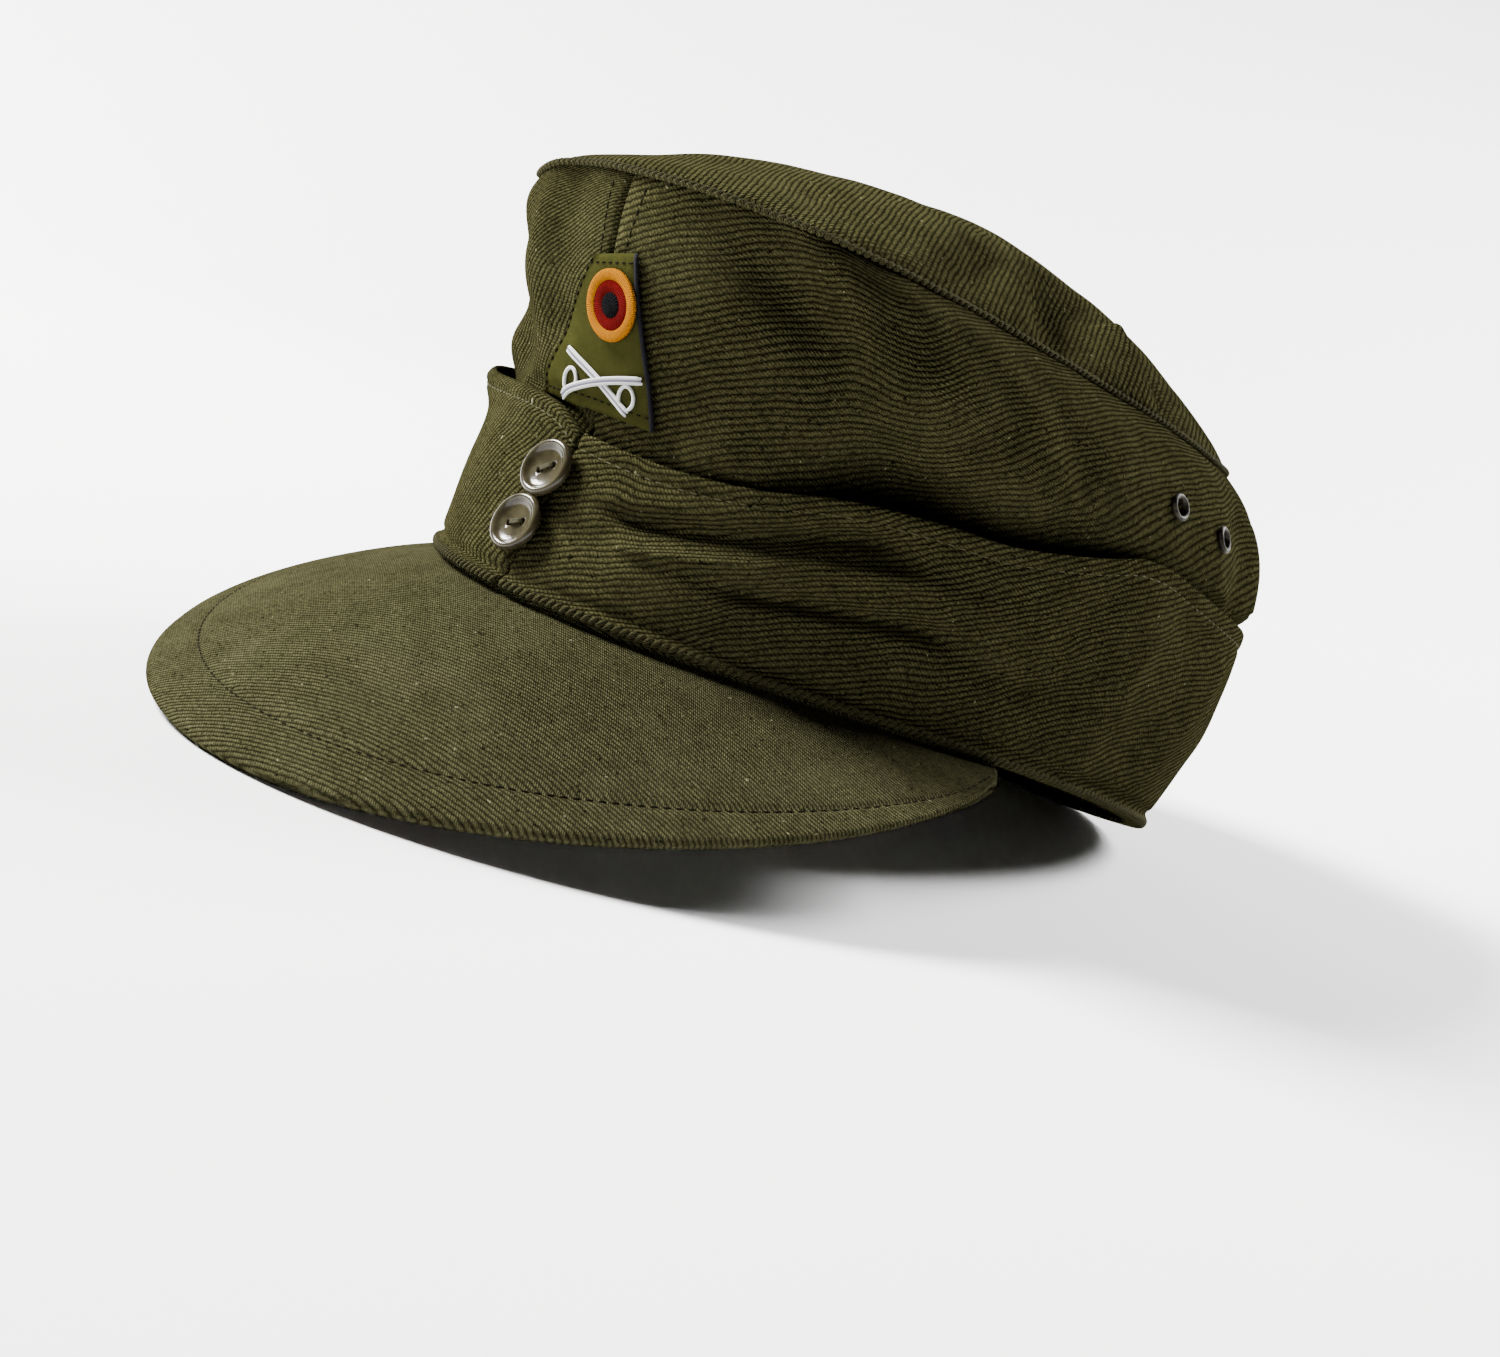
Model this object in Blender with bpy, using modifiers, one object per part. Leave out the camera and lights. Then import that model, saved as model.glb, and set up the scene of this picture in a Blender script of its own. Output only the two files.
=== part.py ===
"""A soft field cap: two crown sides and a domed top, turned-up ear flaps, a stiff peak, a front patch
with a cockade and crossed sabres, two buttons and four eyelets.

The cap is laid out on its rim plane, z = 0, with the peak towards -Y and the wearer's left at +X.
A parent empty then leans it back until it stands on the peak's front edge and the back of the rim.
Angles run round the head in degrees: 0 is the front centre, 90 the wearer's left, 180 the back.
"""

import functools
import math

import bmesh
import bpy
import numpy as np
from mathutils import Matrix, Vector
from mathutils.bvhtree import BVHTree

MM = 0.001

# Rim, measured on the outside of the turned-up flap
RIM_FRONT = 102 * MM
RIM_BACK = 103 * MM
RIM_HALF_WIDTH = 84 * MM
RIM_FRONT_DROP = 1 * MM
RIM_BACK_DROP = 2 * MM
EAR_RISE = 5 * MM

# Crown
CROWN_HEIGHT = 95 * MM
TOP_RISE = 27 * MM
CROWN_CLOTH = 1.6 * MM
DENT_DEPTH = 6 * MM

# Ear flaps
FLAP_HEIGHT = 61 * MM
FLAP_CLOTH = 2.0 * MM
FLAP_EASE = 0.7 * MM

# Peak
PEAK_REACH = 57 * MM
PEAK_DROP = 50.5 * MM
PEAK_THICKNESS = 3.4 * MM
PEAK_END_ANGLE = 82.0
PEAK_TUCK = 3.0 * MM
PEAK_CAMBER = 4.5 * MM

# Front patch and what is on it
PATCH_HEIGHT = 33 * MM
PATCH_TOP_WIDTH = 14 * MM
PATCH_BOTTOM_WIDTH = 42 * MM
PATCH_TOP_X = 2.4 * MM
PATCH_BOTTOM_X = -1.8 * MM
PATCH_TOP_SLANT = 2.6 * MM
PATCH_MIDDLE_Z = 0.637 * CROWN_HEIGHT
PATCH_THICKNESS = 1.0 * MM
PATCH_SEAT = 0.6 * MM
COCKADE_DIAMETER = 16 * MM
COCKADE_RED_DIAMETER = 11.5 * MM
COCKADE_BLACK_DIAMETER = 5.5 * MM
COCKADE_THICKNESS = 1.4 * MM
COCKADE_X = 5.0 * MM
COCKADE_BELOW_TOP = 10.2 * MM
SABRE_LENGTH = 25.5 * MM
SABRE_THREAD = 1.3 * MM
SABRE_CROSS_X = 3.4 * MM
SABRE_CROSS_BELOW_TOP = 26.5 * MM

# Buttons
BUTTON_DIAMETER = 14 * MM
BUTTON_THICKNESS = 3.2 * MM
BUTTON_HOLE = 1.6 * MM
BUTTON_HOLE_SPACING = 3.6 * MM
BUTTON_THREAD = 1.1 * MM
BUTTON_SIDE_OFFSET = 1.2 * MM
BUTTON_PITCH = 13.5 * MM
BUTTON_UPPER_Z = 0.443 * FLAP_HEIGHT
BUTTON_LOWER_Z = BUTTON_UPPER_Z - BUTTON_PITCH
BUTTON_STANDOFF = 0.15 * MM

# Eyelets
EYELET_DIAMETER = 7 * MM
EYELET_HOLE = 3.6 * MM
EYELET_LIP = 0.9 * MM
EYELET_SEAT = 0.8 * MM
EYELET_WALL = 0.6 * MM
EYELET_FRONT_Z = 0.80 * CROWN_HEIGHT
EYELET_REAR_Z = 0.784 * CROWN_HEIGHT
EYELET_FRONT_ANGLE = 93.0
EYELET_REAR_ANGLE = 103.5

# Fits
GAP = 0.35 * MM
SEAM_GAP = 0.4 * MM
REST_FLAT = 0.5 * MM

# Height share of the crown, then shares of the rim's front, back and half width, then squareness
CROWN_ROWS = (
    # height, front, back, side, front_square, back_square
    (0.00, 0.950, 0.950, 0.945, 2.00, 2.30),
    (0.21, 0.940, 0.985, 0.970, 2.05, 2.35),
    (0.40, 0.925, 1.030, 0.985, 2.10, 2.40),
    (0.52, 0.955, 1.055, 0.995, 2.10, 2.45),
    (0.65, 1.008, 1.060, 1.005, 2.20, 2.50),
    (0.76, 1.048, 1.038, 0.990, 2.45, 2.50),
    (0.86, 1.075, 0.975, 0.930, 2.65, 2.60),
    (0.95, 1.092, 0.900, 0.840, 3.00, 2.70),
    (1.00, 1.094, 0.860, 0.750, 3.20, 2.80),
)

# Where the crown's upper edge sags: angle, half width in degrees, share of CROWN_HEIGHT
CROWN_SAGS = (
    # angle, half_angle, drop
    (-30, 17, 0.050),
    (118, 22, 0.015),
    (-125, 30, 0.020),
)

# Height share of the flap, then the same shares as the crown
FLAP_ROWS = (
    # height, front, back, side, front_square, back_square
    (0.00, 1.000, 1.000, 1.000, 2.00, 2.30),
    (0.30, 0.985, 1.040, 1.022, 2.03, 2.36),
    (0.55, 0.970, 1.068, 1.040, 2.08, 2.42),
    (0.80, 0.952, 1.064, 1.046, 2.14, 2.42),
    (1.00, 0.945, 1.048, 1.046, 2.15, 2.40),
)

# Rolled lower edge of the flap: how far in, and how far above the rim, in flap cloths
FLAP_ROLL = (
    # inset, rise
    (2.60, 0.00),
    (1.30, 0.00),
    (0.40, 0.25),
)

# Upper edge of the flap round the head, as shares of FLAP_HEIGHT
FLAP_TOP_LEFT = (
    # angle, height
    (0, 0.62),
    (8, 0.61),
    (20, 0.62),
    (30, 0.66),
    (43, 0.75),
    (56, 0.80),
    (68, 0.83),
    (76, 0.88),
    (84, 0.94),
    (91, 1.00),
    (100, 0.98),
    (112, 0.95),
    (127, 0.93),
    (150, 0.88),
    (180, 0.86),
)
FLAP_TOP_RIGHT = (
    # angle, height
    (0, 0.62),
    (5, 0.68),
    (13, 0.71),
    (24, 0.72),
    (35, 0.73),
    (48, 0.77),
    (62, 0.81),
    (76, 0.88),
    (84, 0.94),
    (91, 1.00),
    (100, 0.98),
    (112, 0.95),
    (127, 0.93),
    (150, 0.88),
    (180, 0.86),
)

# Dents in the crown: where they begin and end, half width in degrees, depth in DENT_DEPTHs
CROWN_DENTS = (
    # angle_from, height_from, angle_to, height_to, half_angle, depth
    (26, 0.93, 52, 0.52, 8.0, 1.00),
    (36, 0.52, 76, 0.55, 9.0, 0.75),
    (74, 0.92, 80, 0.72, 4.0, 0.35),
    (113, 0.84, 116, 0.62, 4.0, 0.40),
    (-37, 0.78, -34, 0.60, 11.0, 0.95),
    (-50, 0.55, -80, 0.55, 9.0, -0.90),
    (-96, 0.88, -102, 0.66, 6.0, 0.35),
    (-140, 0.80, -150, 0.62, 7.0, 0.40),
    (152, 0.84, 160, 0.62, 7.0, 0.35),
)

# Dents in the flaps, the same columns with the heights as shares of the flap's height
FLAP_DENTS = (
    (14, 0.50, 52, 0.82, 9.0, 0.28),
    (40, 0.45, 72, 0.45, 7.0, 0.30),
    (56, 0.12, 46, 0.10, 8.0, 0.16),
    (-44, 0.96, -64, 0.92, 12.0, -0.75),
    (-104, 0.80, -100, 0.30, 7.0, 0.22),
    (106, 0.85, 102, 0.25, 6.0, 0.25),
    (150, 0.75, 160, 0.35, 9.0, 0.25),
)

# Each sabre's tip and hilt, and the middle of its guard, from the crossing, in sabre lengths
SABRES = (
    # tip_x, tip_z, hilt_x, hilt_z, guard_x, guard_z
    (-0.50, 0.18, 0.35, -0.18, 0.36, -0.05),
    (0.48, 0.14, -0.50, -0.18, -0.41, -0.06),
)

CROWN_STEPS = 28
CROWN_ROW_STEPS = 12
FLAP_STEPS = 26
FLAP_ROW_STEPS = 6
TOP_STEPS = 52
TOP_RINGS = 6
PEAK_STEPS = 30
PEAK_ROWS = 5
TURNED_STEPS = 24
EYELET_STEPS = 14


@functools.lru_cache(maxsize=None)
def curve_of(table, column):
    """The places, values and slopes of one column."""
    rows = np.array(table, float)
    places, values = rows[:, 0], rows[:, column]
    return places.tolist(), values.tolist(), np.gradient(values, places).tolist()


def between(table, column, at):
    """The column's value at a place along the first column, on a smooth curve through the rows."""
    places, values, slopes = curve_of(table, column)
    at = min(max(at, places[0]), places[-1])
    i = 0
    while i < len(places) - 2 and at > places[i + 1]:
        i += 1
    span = places[i + 1] - places[i]
    t = (at - places[i]) / span
    left = values[i] * (1 + 2 * t) * (1 - t) ** 2 + slopes[i] * span * t * (1 - t) ** 2
    right = values[i + 1] * t * t * (3 - 2 * t) - slopes[i + 1] * span * t * t * (1 - t)
    return left + right


def rim_z(angle):
    """Height of the rim's lower edge round the head: it rises over the ears."""
    side = math.sin(math.radians(angle)) ** 2
    low = -RIM_FRONT_DROP if math.cos(math.radians(angle)) > 0 else -RIM_BACK_DROP
    return low + (EAR_RISE - low) * side


def flap_top_z(angle):
    """Height of the flap's upper edge round the head."""
    turn = (angle + 180) % 360 - 180
    return FLAP_HEIGHT * between(FLAP_TOP_LEFT if turn >= 0 else FLAP_TOP_RIGHT, 1, abs(turn))


def crown_top_z(angle):
    """Height of the crown's upper edge round the head."""
    sag = 0.0
    for middle, half_angle, drop in CROWN_SAGS:
        away = ((angle + 180 - middle) % 360 - 180) / half_angle
        sag += drop * math.exp(-away * away)
    return CROWN_HEIGHT * (1 - sag)


def crown_base_z(angle):
    """Height of the crown's lower edge, which stands in the flap's roll."""
    return rim_z(angle) + FLAP_CLOTH + GAP


def dented(dents, angle, share):
    """Depth of all dents at this place, as a length."""
    depth = 0.0
    for a0, h0, a1, h1, half_angle, deep in dents:
        run = Vector((a1 - a0, (h1 - h0) * 100))
        reach = Vector(((angle + 180 - a0) % 360 - 180, (share - h0) * 100))
        t = min(max(reach.dot(run) / run.length_squared, 0.0), 1.0)
        away = (reach - run * t).length / half_angle
        depth += deep * math.exp(-away * away)
    return DENT_DEPTH * depth


def oval(rows, angle, share):
    """The section's x and y at an angle, for a table of rows."""
    front, back, side, front_square, back_square = (between(rows, k, share) for k in range(1, 6))
    s, c = math.sin(math.radians(angle)), math.cos(math.radians(angle))
    power = 2 / (front_square if c > 0 else back_square)
    x = RIM_HALF_WIDTH * side * math.copysign(abs(s) ** power, s)
    reach = RIM_FRONT * front if c > 0 else RIM_BACK * back
    return Vector((x, -reach * math.copysign(abs(c) ** power, c)))


def flap_outside(angle, share):
    """A point of the flap's outer face, share 0 at the rim and 1 at its upper edge."""
    flat = oval(FLAP_ROWS, angle, share)
    flat *= 1 - dented(FLAP_DENTS, angle, share) / flat.length
    low = rim_z(angle)
    return Vector((flat.x, flat.y, low + share * (flap_top_z(angle) - low)))


def crown_outside(angle, share):
    """A point of the crown's outer face, tucked behind the flap where the flap covers it."""
    low = crown_base_z(angle)
    z = low + share * (crown_top_z(angle) - low)
    flat = oval(CROWN_ROWS, angle, share)
    flat *= 1 - dented(CROWN_DENTS, angle, share) / flat.length
    bottom, top = rim_z(angle), flap_top_z(angle)
    cover = (z - bottom) / (top - bottom)
    room = flap_outside(angle, min(cover, 1.0)).xy.length - FLAP_CLOTH - GAP - FLAP_EASE
    free = max(0.0, (z - top - FLAP_CLOTH) / FLAP_HEIGHT)
    limit = room + FLAP_HEIGHT * 0.9 * free
    flat *= min(1.0, limit / flat.length)
    return Vector((flat.x, flat.y, z))


def crown_at(cap, x, z):
    """The point and outward normal of the crown's front, as it is faceted, at this x and height."""

    def at(side_x, height):
        low, high = -60.0, 60.0
        for _ in range(34):
            angle = (low + high) / 2
            base = crown_base_z(angle)
            point = crown_outside(angle, (height - base) / (crown_top_z(angle) - base))
            low, high = (angle, high) if point.x < side_x else (low, angle)
        return point

    step = CROWN_CLOTH
    across = at(x + step, z) - at(x - step, z)
    up = at(x, z + step) - at(x, z - step)
    point, normal = at(x, z), across.cross(up).normalized()
    reach = 4 * CROWN_CLOTH
    hits = [skin.ray_cast(point + reach * normal, -normal, 2 * reach) for skin in cap.skins]
    found = [hit[0] for hit in hits if hit[0] is not None]
    return max(found, key=lambda hit: hit.dot(normal), default=point), normal


def material(name, colour, roughness, metallic=0.0):
    made = bpy.data.materials.new(name)
    made.use_nodes = True
    shader = made.node_tree.nodes["Principled BSDF"]
    shader.inputs["Base Color"].default_value = (*colour, 1.0)
    shader.inputs["Roughness"].default_value = roughness
    shader.inputs["Metallic"].default_value = metallic
    made.diffuse_color = (*colour, 1.0)
    return made


def collection(name, parent):
    made = bpy.data.collections.new(name)
    parent.children.link(made)
    return made


class Cap:
    """Where finished objects and cutters go, and the frame that they all ride on."""

    def __init__(self):
        for old in list(bpy.data.objects):
            bpy.data.objects.remove(old, do_unlink=True)
        scene = bpy.context.scene
        self.parts = collection("field_cap", scene.collection)
        self.cutters = collection("cutters", scene.collection)
        self.cutters.hide_render = True
        self.skins = []
        self.frame = bpy.data.objects.new("cap_frame", None)
        self.parts.objects.link(self.frame)
        self.paint = {
            "cloth": material("olive_twill", (0.16, 0.17, 0.09), 0.95),
            "patch": material("olive_felt", (0.22, 0.21, 0.10), 0.95),
            "gold": material("gold_thread", (0.62, 0.36, 0.07), 0.6),
            "red": material("red_thread", (0.45, 0.03, 0.03), 0.7),
            "black": material("black_thread", (0.015, 0.015, 0.02), 0.7),
            "white": material("white_thread", (0.75, 0.74, 0.70), 0.8),
            "button": material("brown_plastic", (0.12, 0.08, 0.03), 0.2),
            "thread": material("olive_thread", (0.14, 0.13, 0.06), 0.8),
            "metal": material("dull_metal", (0.30, 0.27, 0.22), 0.45, 0.8),
        }

    def keep(self, obj, paint):
        """Puts a finished object in the cap's collection, on the cap's frame."""
        obj.data.materials.clear()
        obj.data.materials.append(self.paint[paint])
        self.parts.objects.link(obj)
        obj.parent = self.frame
        return obj

    def cut(self, target, cutter, rides=True):
        """Cuts the target by a cutter, which stays hidden."""
        self.cutters.objects.link(cutter)
        cutter.hide_render = True
        cutter.display_type = "WIRE"
        if rides:
            cutter.parent = self.frame
        made = target.modifiers.new("cut_" + cutter.name, "BOOLEAN")
        made.operation = "DIFFERENCE"
        made.solver = "EXACT"
        made.object = cutter


def sheet(name, grid, thickness, offset=-1.0, close=False, cap_centre=None):
    """A wall over a grid of points, rows of equal length, thickened by a Solidify modifier."""
    mesh = bpy.data.meshes.new(name)
    bm = bmesh.new()
    rows = [[bm.verts.new(point) for point in row] for row in grid]
    across = len(rows[0]) if close else len(rows[0]) - 1
    for lower, upper in zip(rows, rows[1:]):
        for i in range(across):
            j = (i + 1) % len(lower)
            bm.faces.new((lower[i], lower[j], upper[j], upper[i]))
    if cap_centre is not None:
        middle = bm.verts.new(cap_centre)
        for i in range(across):
            bm.faces.new((rows[-1][i], rows[-1][(i + 1) % len(rows[-1])], middle))
    bm.to_mesh(mesh)
    bm.free()
    mesh.shade_smooth()
    obj = bpy.data.objects.new(name, mesh)
    wall = obj.modifiers.new("cloth", "SOLIDIFY")
    wall.thickness = thickness
    wall.offset = offset
    wall.use_even_offset = True
    wall.use_rim = True
    return obj


def round_edges(obj, width, segments=2):
    """Rounds the sheet's cut edges."""
    bevel = obj.modifiers.new("rounded", "BEVEL")
    bevel.width = width
    bevel.segments = segments
    bevel.limit_method = "ANGLE"
    bevel.angle_limit = math.radians(55)


def lathe(name, profile, steps, place):
    """A turned solid from (radius, height) points going up its outer side. The mesh runs down it."""
    mesh = bpy.data.meshes.new(name)
    bm = bmesh.new()
    points = [bm.verts.new((radius, 0.0, height)) for radius, height in reversed(profile)]
    for first, second in zip(points, points[1:]):
        bm.edges.new((first, second))
    if profile[0][0] > 0:
        bm.edges.new((points[-1], points[0]))
    bm.to_mesh(mesh)
    bm.free()
    obj = bpy.data.objects.new(name, mesh)
    turn = obj.modifiers.new("turned", "SCREW")
    turn.axis = "Z"
    turn.steps = steps
    turn.render_steps = steps
    turn.use_merge_vertices = True
    turn.merge_threshold = 1e-5
    turn.use_smooth_shade = True
    obj.matrix_world = place
    return obj


def facing(point, normal, up=Vector((0, 0, 1))):
    """A matrix at the point, with its Z along the normal and its Y as near to up as it can be."""
    z = normal.normalized()
    x = up.cross(z).normalized()
    y = z.cross(x)
    turned = Matrix((x, y, z)).transposed().to_4x4()
    return Matrix.Translation(point) @ turned


def drill(name, place, diameter, depth, shift=0.0):
    """A round cutter along the place's Z, from below to above its origin."""
    mesh = bpy.data.meshes.new(name)
    bm = bmesh.new()
    bmesh.ops.create_cone(
        bm,
        cap_ends=True,
        segments=16,
        radius1=diameter / 2,
        radius2=diameter / 2,
        depth=2 * depth,
        matrix=place @ Matrix.Translation((shift, 0, 0)),
    )
    bm.to_mesh(mesh)
    bm.free()
    return bpy.data.objects.new(name, mesh)


def sides(count, first, last):
    """Evenly spaced angles, kept half a seam's gap away from the front and back centre."""
    edge = math.degrees(SEAM_GAP / 2 / RIM_HALF_WIDTH)
    low, high = min(first, last) + edge, max(first, last) - edge
    return [low + (high - low) * i / count for i in range(count + 1)]


def straight_seam(point, angle_from):
    """Sets a point of a sheet's end row exactly half a gap off the middle plane."""
    point = point.copy()
    point.x = math.copysign(SEAM_GAP / 2, angle_from)
    return point


def half_sheet(outside, side, steps, shares):
    """A grid over one half of the cap, from the front centre to the back centre."""
    angles = sides(steps, 0, 180 * side)
    grid = []
    for share in shares:
        row = [outside(angle, share) for angle in angles]
        row[0] = straight_seam(row[0], side)
        row[-1] = straight_seam(row[-1], side)
        grid.append(row)
    return grid


def crown_side(cap, side, name):
    shares = [i / CROWN_ROW_STEPS for i in range(CROWN_ROW_STEPS + 1)]
    obj = sheet(name, half_sheet(crown_outside, side, CROWN_STEPS, shares), CROWN_CLOTH)
    faces = [tuple(face.vertices) for face in obj.data.polygons]
    cap.skins.append(BVHTree.FromPolygons([vert.co for vert in obj.data.vertices], faces))
    return cap.keep(obj, "cloth")


def crown_top(cap):
    """The domed top, its edge a seam's gap above the crown's upper edge."""
    steps = [360 * i / TOP_STEPS for i in range(TOP_STEPS)]
    edge = [crown_outside((a + 180) % 360 - 180, 1.0) for a in steps]
    summit = Vector((0.0, 0.03 * RIM_BACK, 0.0))
    grid = []
    for ring in range(TOP_RINGS):
        share = 1 - ring / TOP_RINGS
        rise = TOP_RISE * (1 - share**1.7)
        row = []
        for point in edge:
            flat = Vector((point.x, point.y, 0.0)).lerp(summit, 1 - share)
            seat = CROWN_HEIGHT + (point.z - CROWN_HEIGHT) * share**2
            row.append(Vector((flat.x, flat.y, seat + SEAM_GAP + CROWN_CLOTH + rise)))
        grid.append(row)
    middle = Vector((summit.x, summit.y, CROWN_HEIGHT + SEAM_GAP + CROWN_CLOTH + TOP_RISE))
    obj = sheet("top_panel", grid, CROWN_CLOTH, close=True, cap_centre=middle)
    return cap.keep(obj, "cloth")


def flap(cap, side, name):
    shares = [i / FLAP_ROW_STEPS for i in range(FLAP_ROW_STEPS + 1)]
    upright = half_sheet(flap_outside, side, FLAP_STEPS, shares)
    rolled = []
    for inset, rise in FLAP_ROLL:
        row = []
        for point in upright[0]:
            inward = Vector((-point.x, -point.y, 0.0)).normalized() * inset * FLAP_CLOTH
            row.append(point + inward + Vector((0, 0, rise * FLAP_CLOTH)))
        row[0] = straight_seam(row[0], side)
        row[-1] = straight_seam(row[-1], side)
        rolled.append(row)
    lifted = [point + Vector((0, 0, 1.1 * FLAP_CLOTH)) for point in upright[0]]
    obj = sheet(name, rolled + [lifted] + upright[1:], FLAP_CLOTH)
    round_edges(obj, 0.3 * FLAP_CLOTH, 1)
    return cap.keep(obj, "cloth")


def peak_point(turn, share):
    """A point of the peak's upper face: turn from -1 to 1 along the seam, share 0 at the seam."""
    angle = turn * PEAK_END_ANGLE
    rim = oval(FLAP_ROWS, angle, 0.0)
    root = rim * (1 - PEAK_TUCK / rim.length)
    fade = max(math.cos(math.pi / 2 * turn), 0.012)
    heading = math.radians(0.5 * angle)
    reach = PEAK_TUCK + PEAK_REACH * fade**0.22
    drop = PEAK_DROP * fade**0.7
    base = rim_z(angle) - GAP
    bow = PEAK_CAMBER * math.sin(math.pi * share) * fade**0.5
    edge = Vector((math.sin(heading), -math.cos(heading))) * reach
    flat = root + edge * share
    return Vector((flat.x, flat.y, base - drop * share**1.06 + bow))


def peak(cap):
    turns = [math.sin(math.pi / 2 * (2 * i / PEAK_STEPS - 1)) for i in range(PEAK_STEPS + 1)]
    shares = [i / PEAK_ROWS for i in range(PEAK_ROWS + 1)]
    grid = [[peak_point(turn, share) for turn in turns] for share in reversed(shares)]
    obj = sheet("peak", grid, PEAK_THICKNESS)
    round_edges(obj, 0.3 * PEAK_THICKNESS, 1)
    return cap.keep(obj, "cloth")


def on_crown(cap, x, z, lift):
    """A point this far outside the crown's front."""
    point, normal = crown_at(cap, x, z)
    return point + normal * lift


def patch_point(cap, across, up, lift):
    """A point over the patch: across and up run from -0.5 to 0.5, lift is above the crown."""
    share = up + 0.5
    width = PATCH_BOTTOM_WIDTH + (PATCH_TOP_WIDTH - PATCH_BOTTOM_WIDTH) * share
    middle = PATCH_BOTTOM_X + (PATCH_TOP_X - PATCH_BOTTOM_X) * share
    slant = PATCH_TOP_SLANT * across * share
    return on_crown(cap, middle + across * width, PATCH_MIDDLE_Z + up * PATCH_HEIGHT + slant, lift)


def patch(cap):
    steps = 7
    grid = [
        [patch_point(cap, i / steps - 0.5, j / steps - 0.5, PATCH_SEAT) for i in range(steps + 1)]
        for j in range(steps + 1)
    ]
    obj = sheet("badge_patch", grid, PATCH_THICKNESS, offset=1.0)
    return cap.keep(obj, "patch")


def cockade(cap):
    """Three rings, one in the next, flat on the upper half of the patch."""
    point, normal = crown_at(cap, COCKADE_X, PATCH_MIDDLE_Z + PATCH_HEIGHT / 2 - COCKADE_BELOW_TOP)
    base = PATCH_SEAT + PATCH_THICKNESS + GAP
    place = facing(point + normal * base, normal)
    rings = (
        ("cockade_gold", "gold", COCKADE_RED_DIAMETER / 2 + GAP, COCKADE_DIAMETER / 2, 1.0),
        ("cockade_red", "red", COCKADE_BLACK_DIAMETER / 2 + GAP, COCKADE_RED_DIAMETER / 2, 1.15),
        ("cockade_black", "black", 0.0, COCKADE_BLACK_DIAMETER / 2, 1.3),
    )
    for name, paint, inner, outer, height in rings:
        tall = COCKADE_THICKNESS * height
        soft = 0.3 * tall
        profile = [(inner, 0.0), (outer, 0.0), (outer, tall - soft), (outer - soft, tall)]
        if inner > 0:
            profile += [(inner + soft, tall), (inner, tall - soft)]
        else:
            profile += [(0.0, tall)]
        cap.keep(lathe(name, profile, TURNED_STEPS, place), paint)


def tube(name, points, radius, rounds=2):
    """A closed round bar through the points."""
    curve = bpy.data.curves.new(name, "CURVE")
    curve.dimensions = "3D"
    curve.bevel_depth = radius
    curve.bevel_resolution = rounds
    curve.use_fill_caps = True
    line = curve.splines.new("POLY")
    line.points.add(len(points) - 1)
    for point, place in zip(line.points, points):
        point.co = (*place, 1.0)
    holder = bpy.data.objects.new(name, curve)
    bpy.context.scene.collection.objects.link(holder)
    graph = bpy.context.evaluated_depsgraph_get()
    mesh = bpy.data.meshes.new_from_object(holder.evaluated_get(graph))
    bpy.data.objects.remove(holder, do_unlink=True)
    bm = bmesh.new()
    bm.from_mesh(mesh)
    bmesh.ops.remove_doubles(bm, verts=bm.verts, dist=1e-6)
    bmesh.ops.recalc_face_normals(bm, faces=bm.faces)
    bm.to_mesh(mesh)
    bm.free()
    return bpy.data.objects.new(name, mesh)


def sabres(cap):
    """Two curved sabres that cross below the cockade, each with a guard loop, as one raised motif."""
    radius = SABRE_THREAD / 2
    lift = PATCH_SEAT + PATCH_THICKNESS + GAP + radius
    cross_z = PATCH_MIDDLE_Z + PATCH_HEIGHT / 2 - SABRE_CROSS_BELOW_TOP

    def place(x, z):
        return on_crown(cap, SABRE_CROSS_X + x * SABRE_LENGTH, cross_z + z * SABRE_LENGTH, lift)

    bars = []
    for number, (tip_x, tip_z, hilt_x, hilt_z, guard_x, guard_z) in enumerate(SABRES):
        blade = []
        for i in range(9):
            t = i / 8
            bow = 0.03 * math.sin(math.pi * t)
            blade.append(place(tip_x + (hilt_x - tip_x) * t, tip_z + (hilt_z - tip_z) * t + bow))
        bars.append(tube(f"blade_{number}", blade, radius))
        loop = []
        for i in range(9):
            turn = math.radians(-60 + 300 * i / 8)
            loop.append(place(guard_x + 0.085 * math.cos(turn), guard_z + 0.10 * math.sin(turn)))
        bars.append(tube(f"guard_{number}", loop, 0.8 * radius, 1))
    motif = cap.keep(bars[0], "white")
    motif.name = "crossed_sabres"
    for bar in bars[1:]:
        cap.cutters.objects.link(bar)
        bar.hide_render = True
        bar.display_type = "WIRE"
        bar.parent = cap.frame
        joined = motif.modifiers.new("join_" + bar.name, "BOOLEAN")
        joined.operation = "UNION"
        joined.solver = "EXACT"
        joined.object = bar


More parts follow.
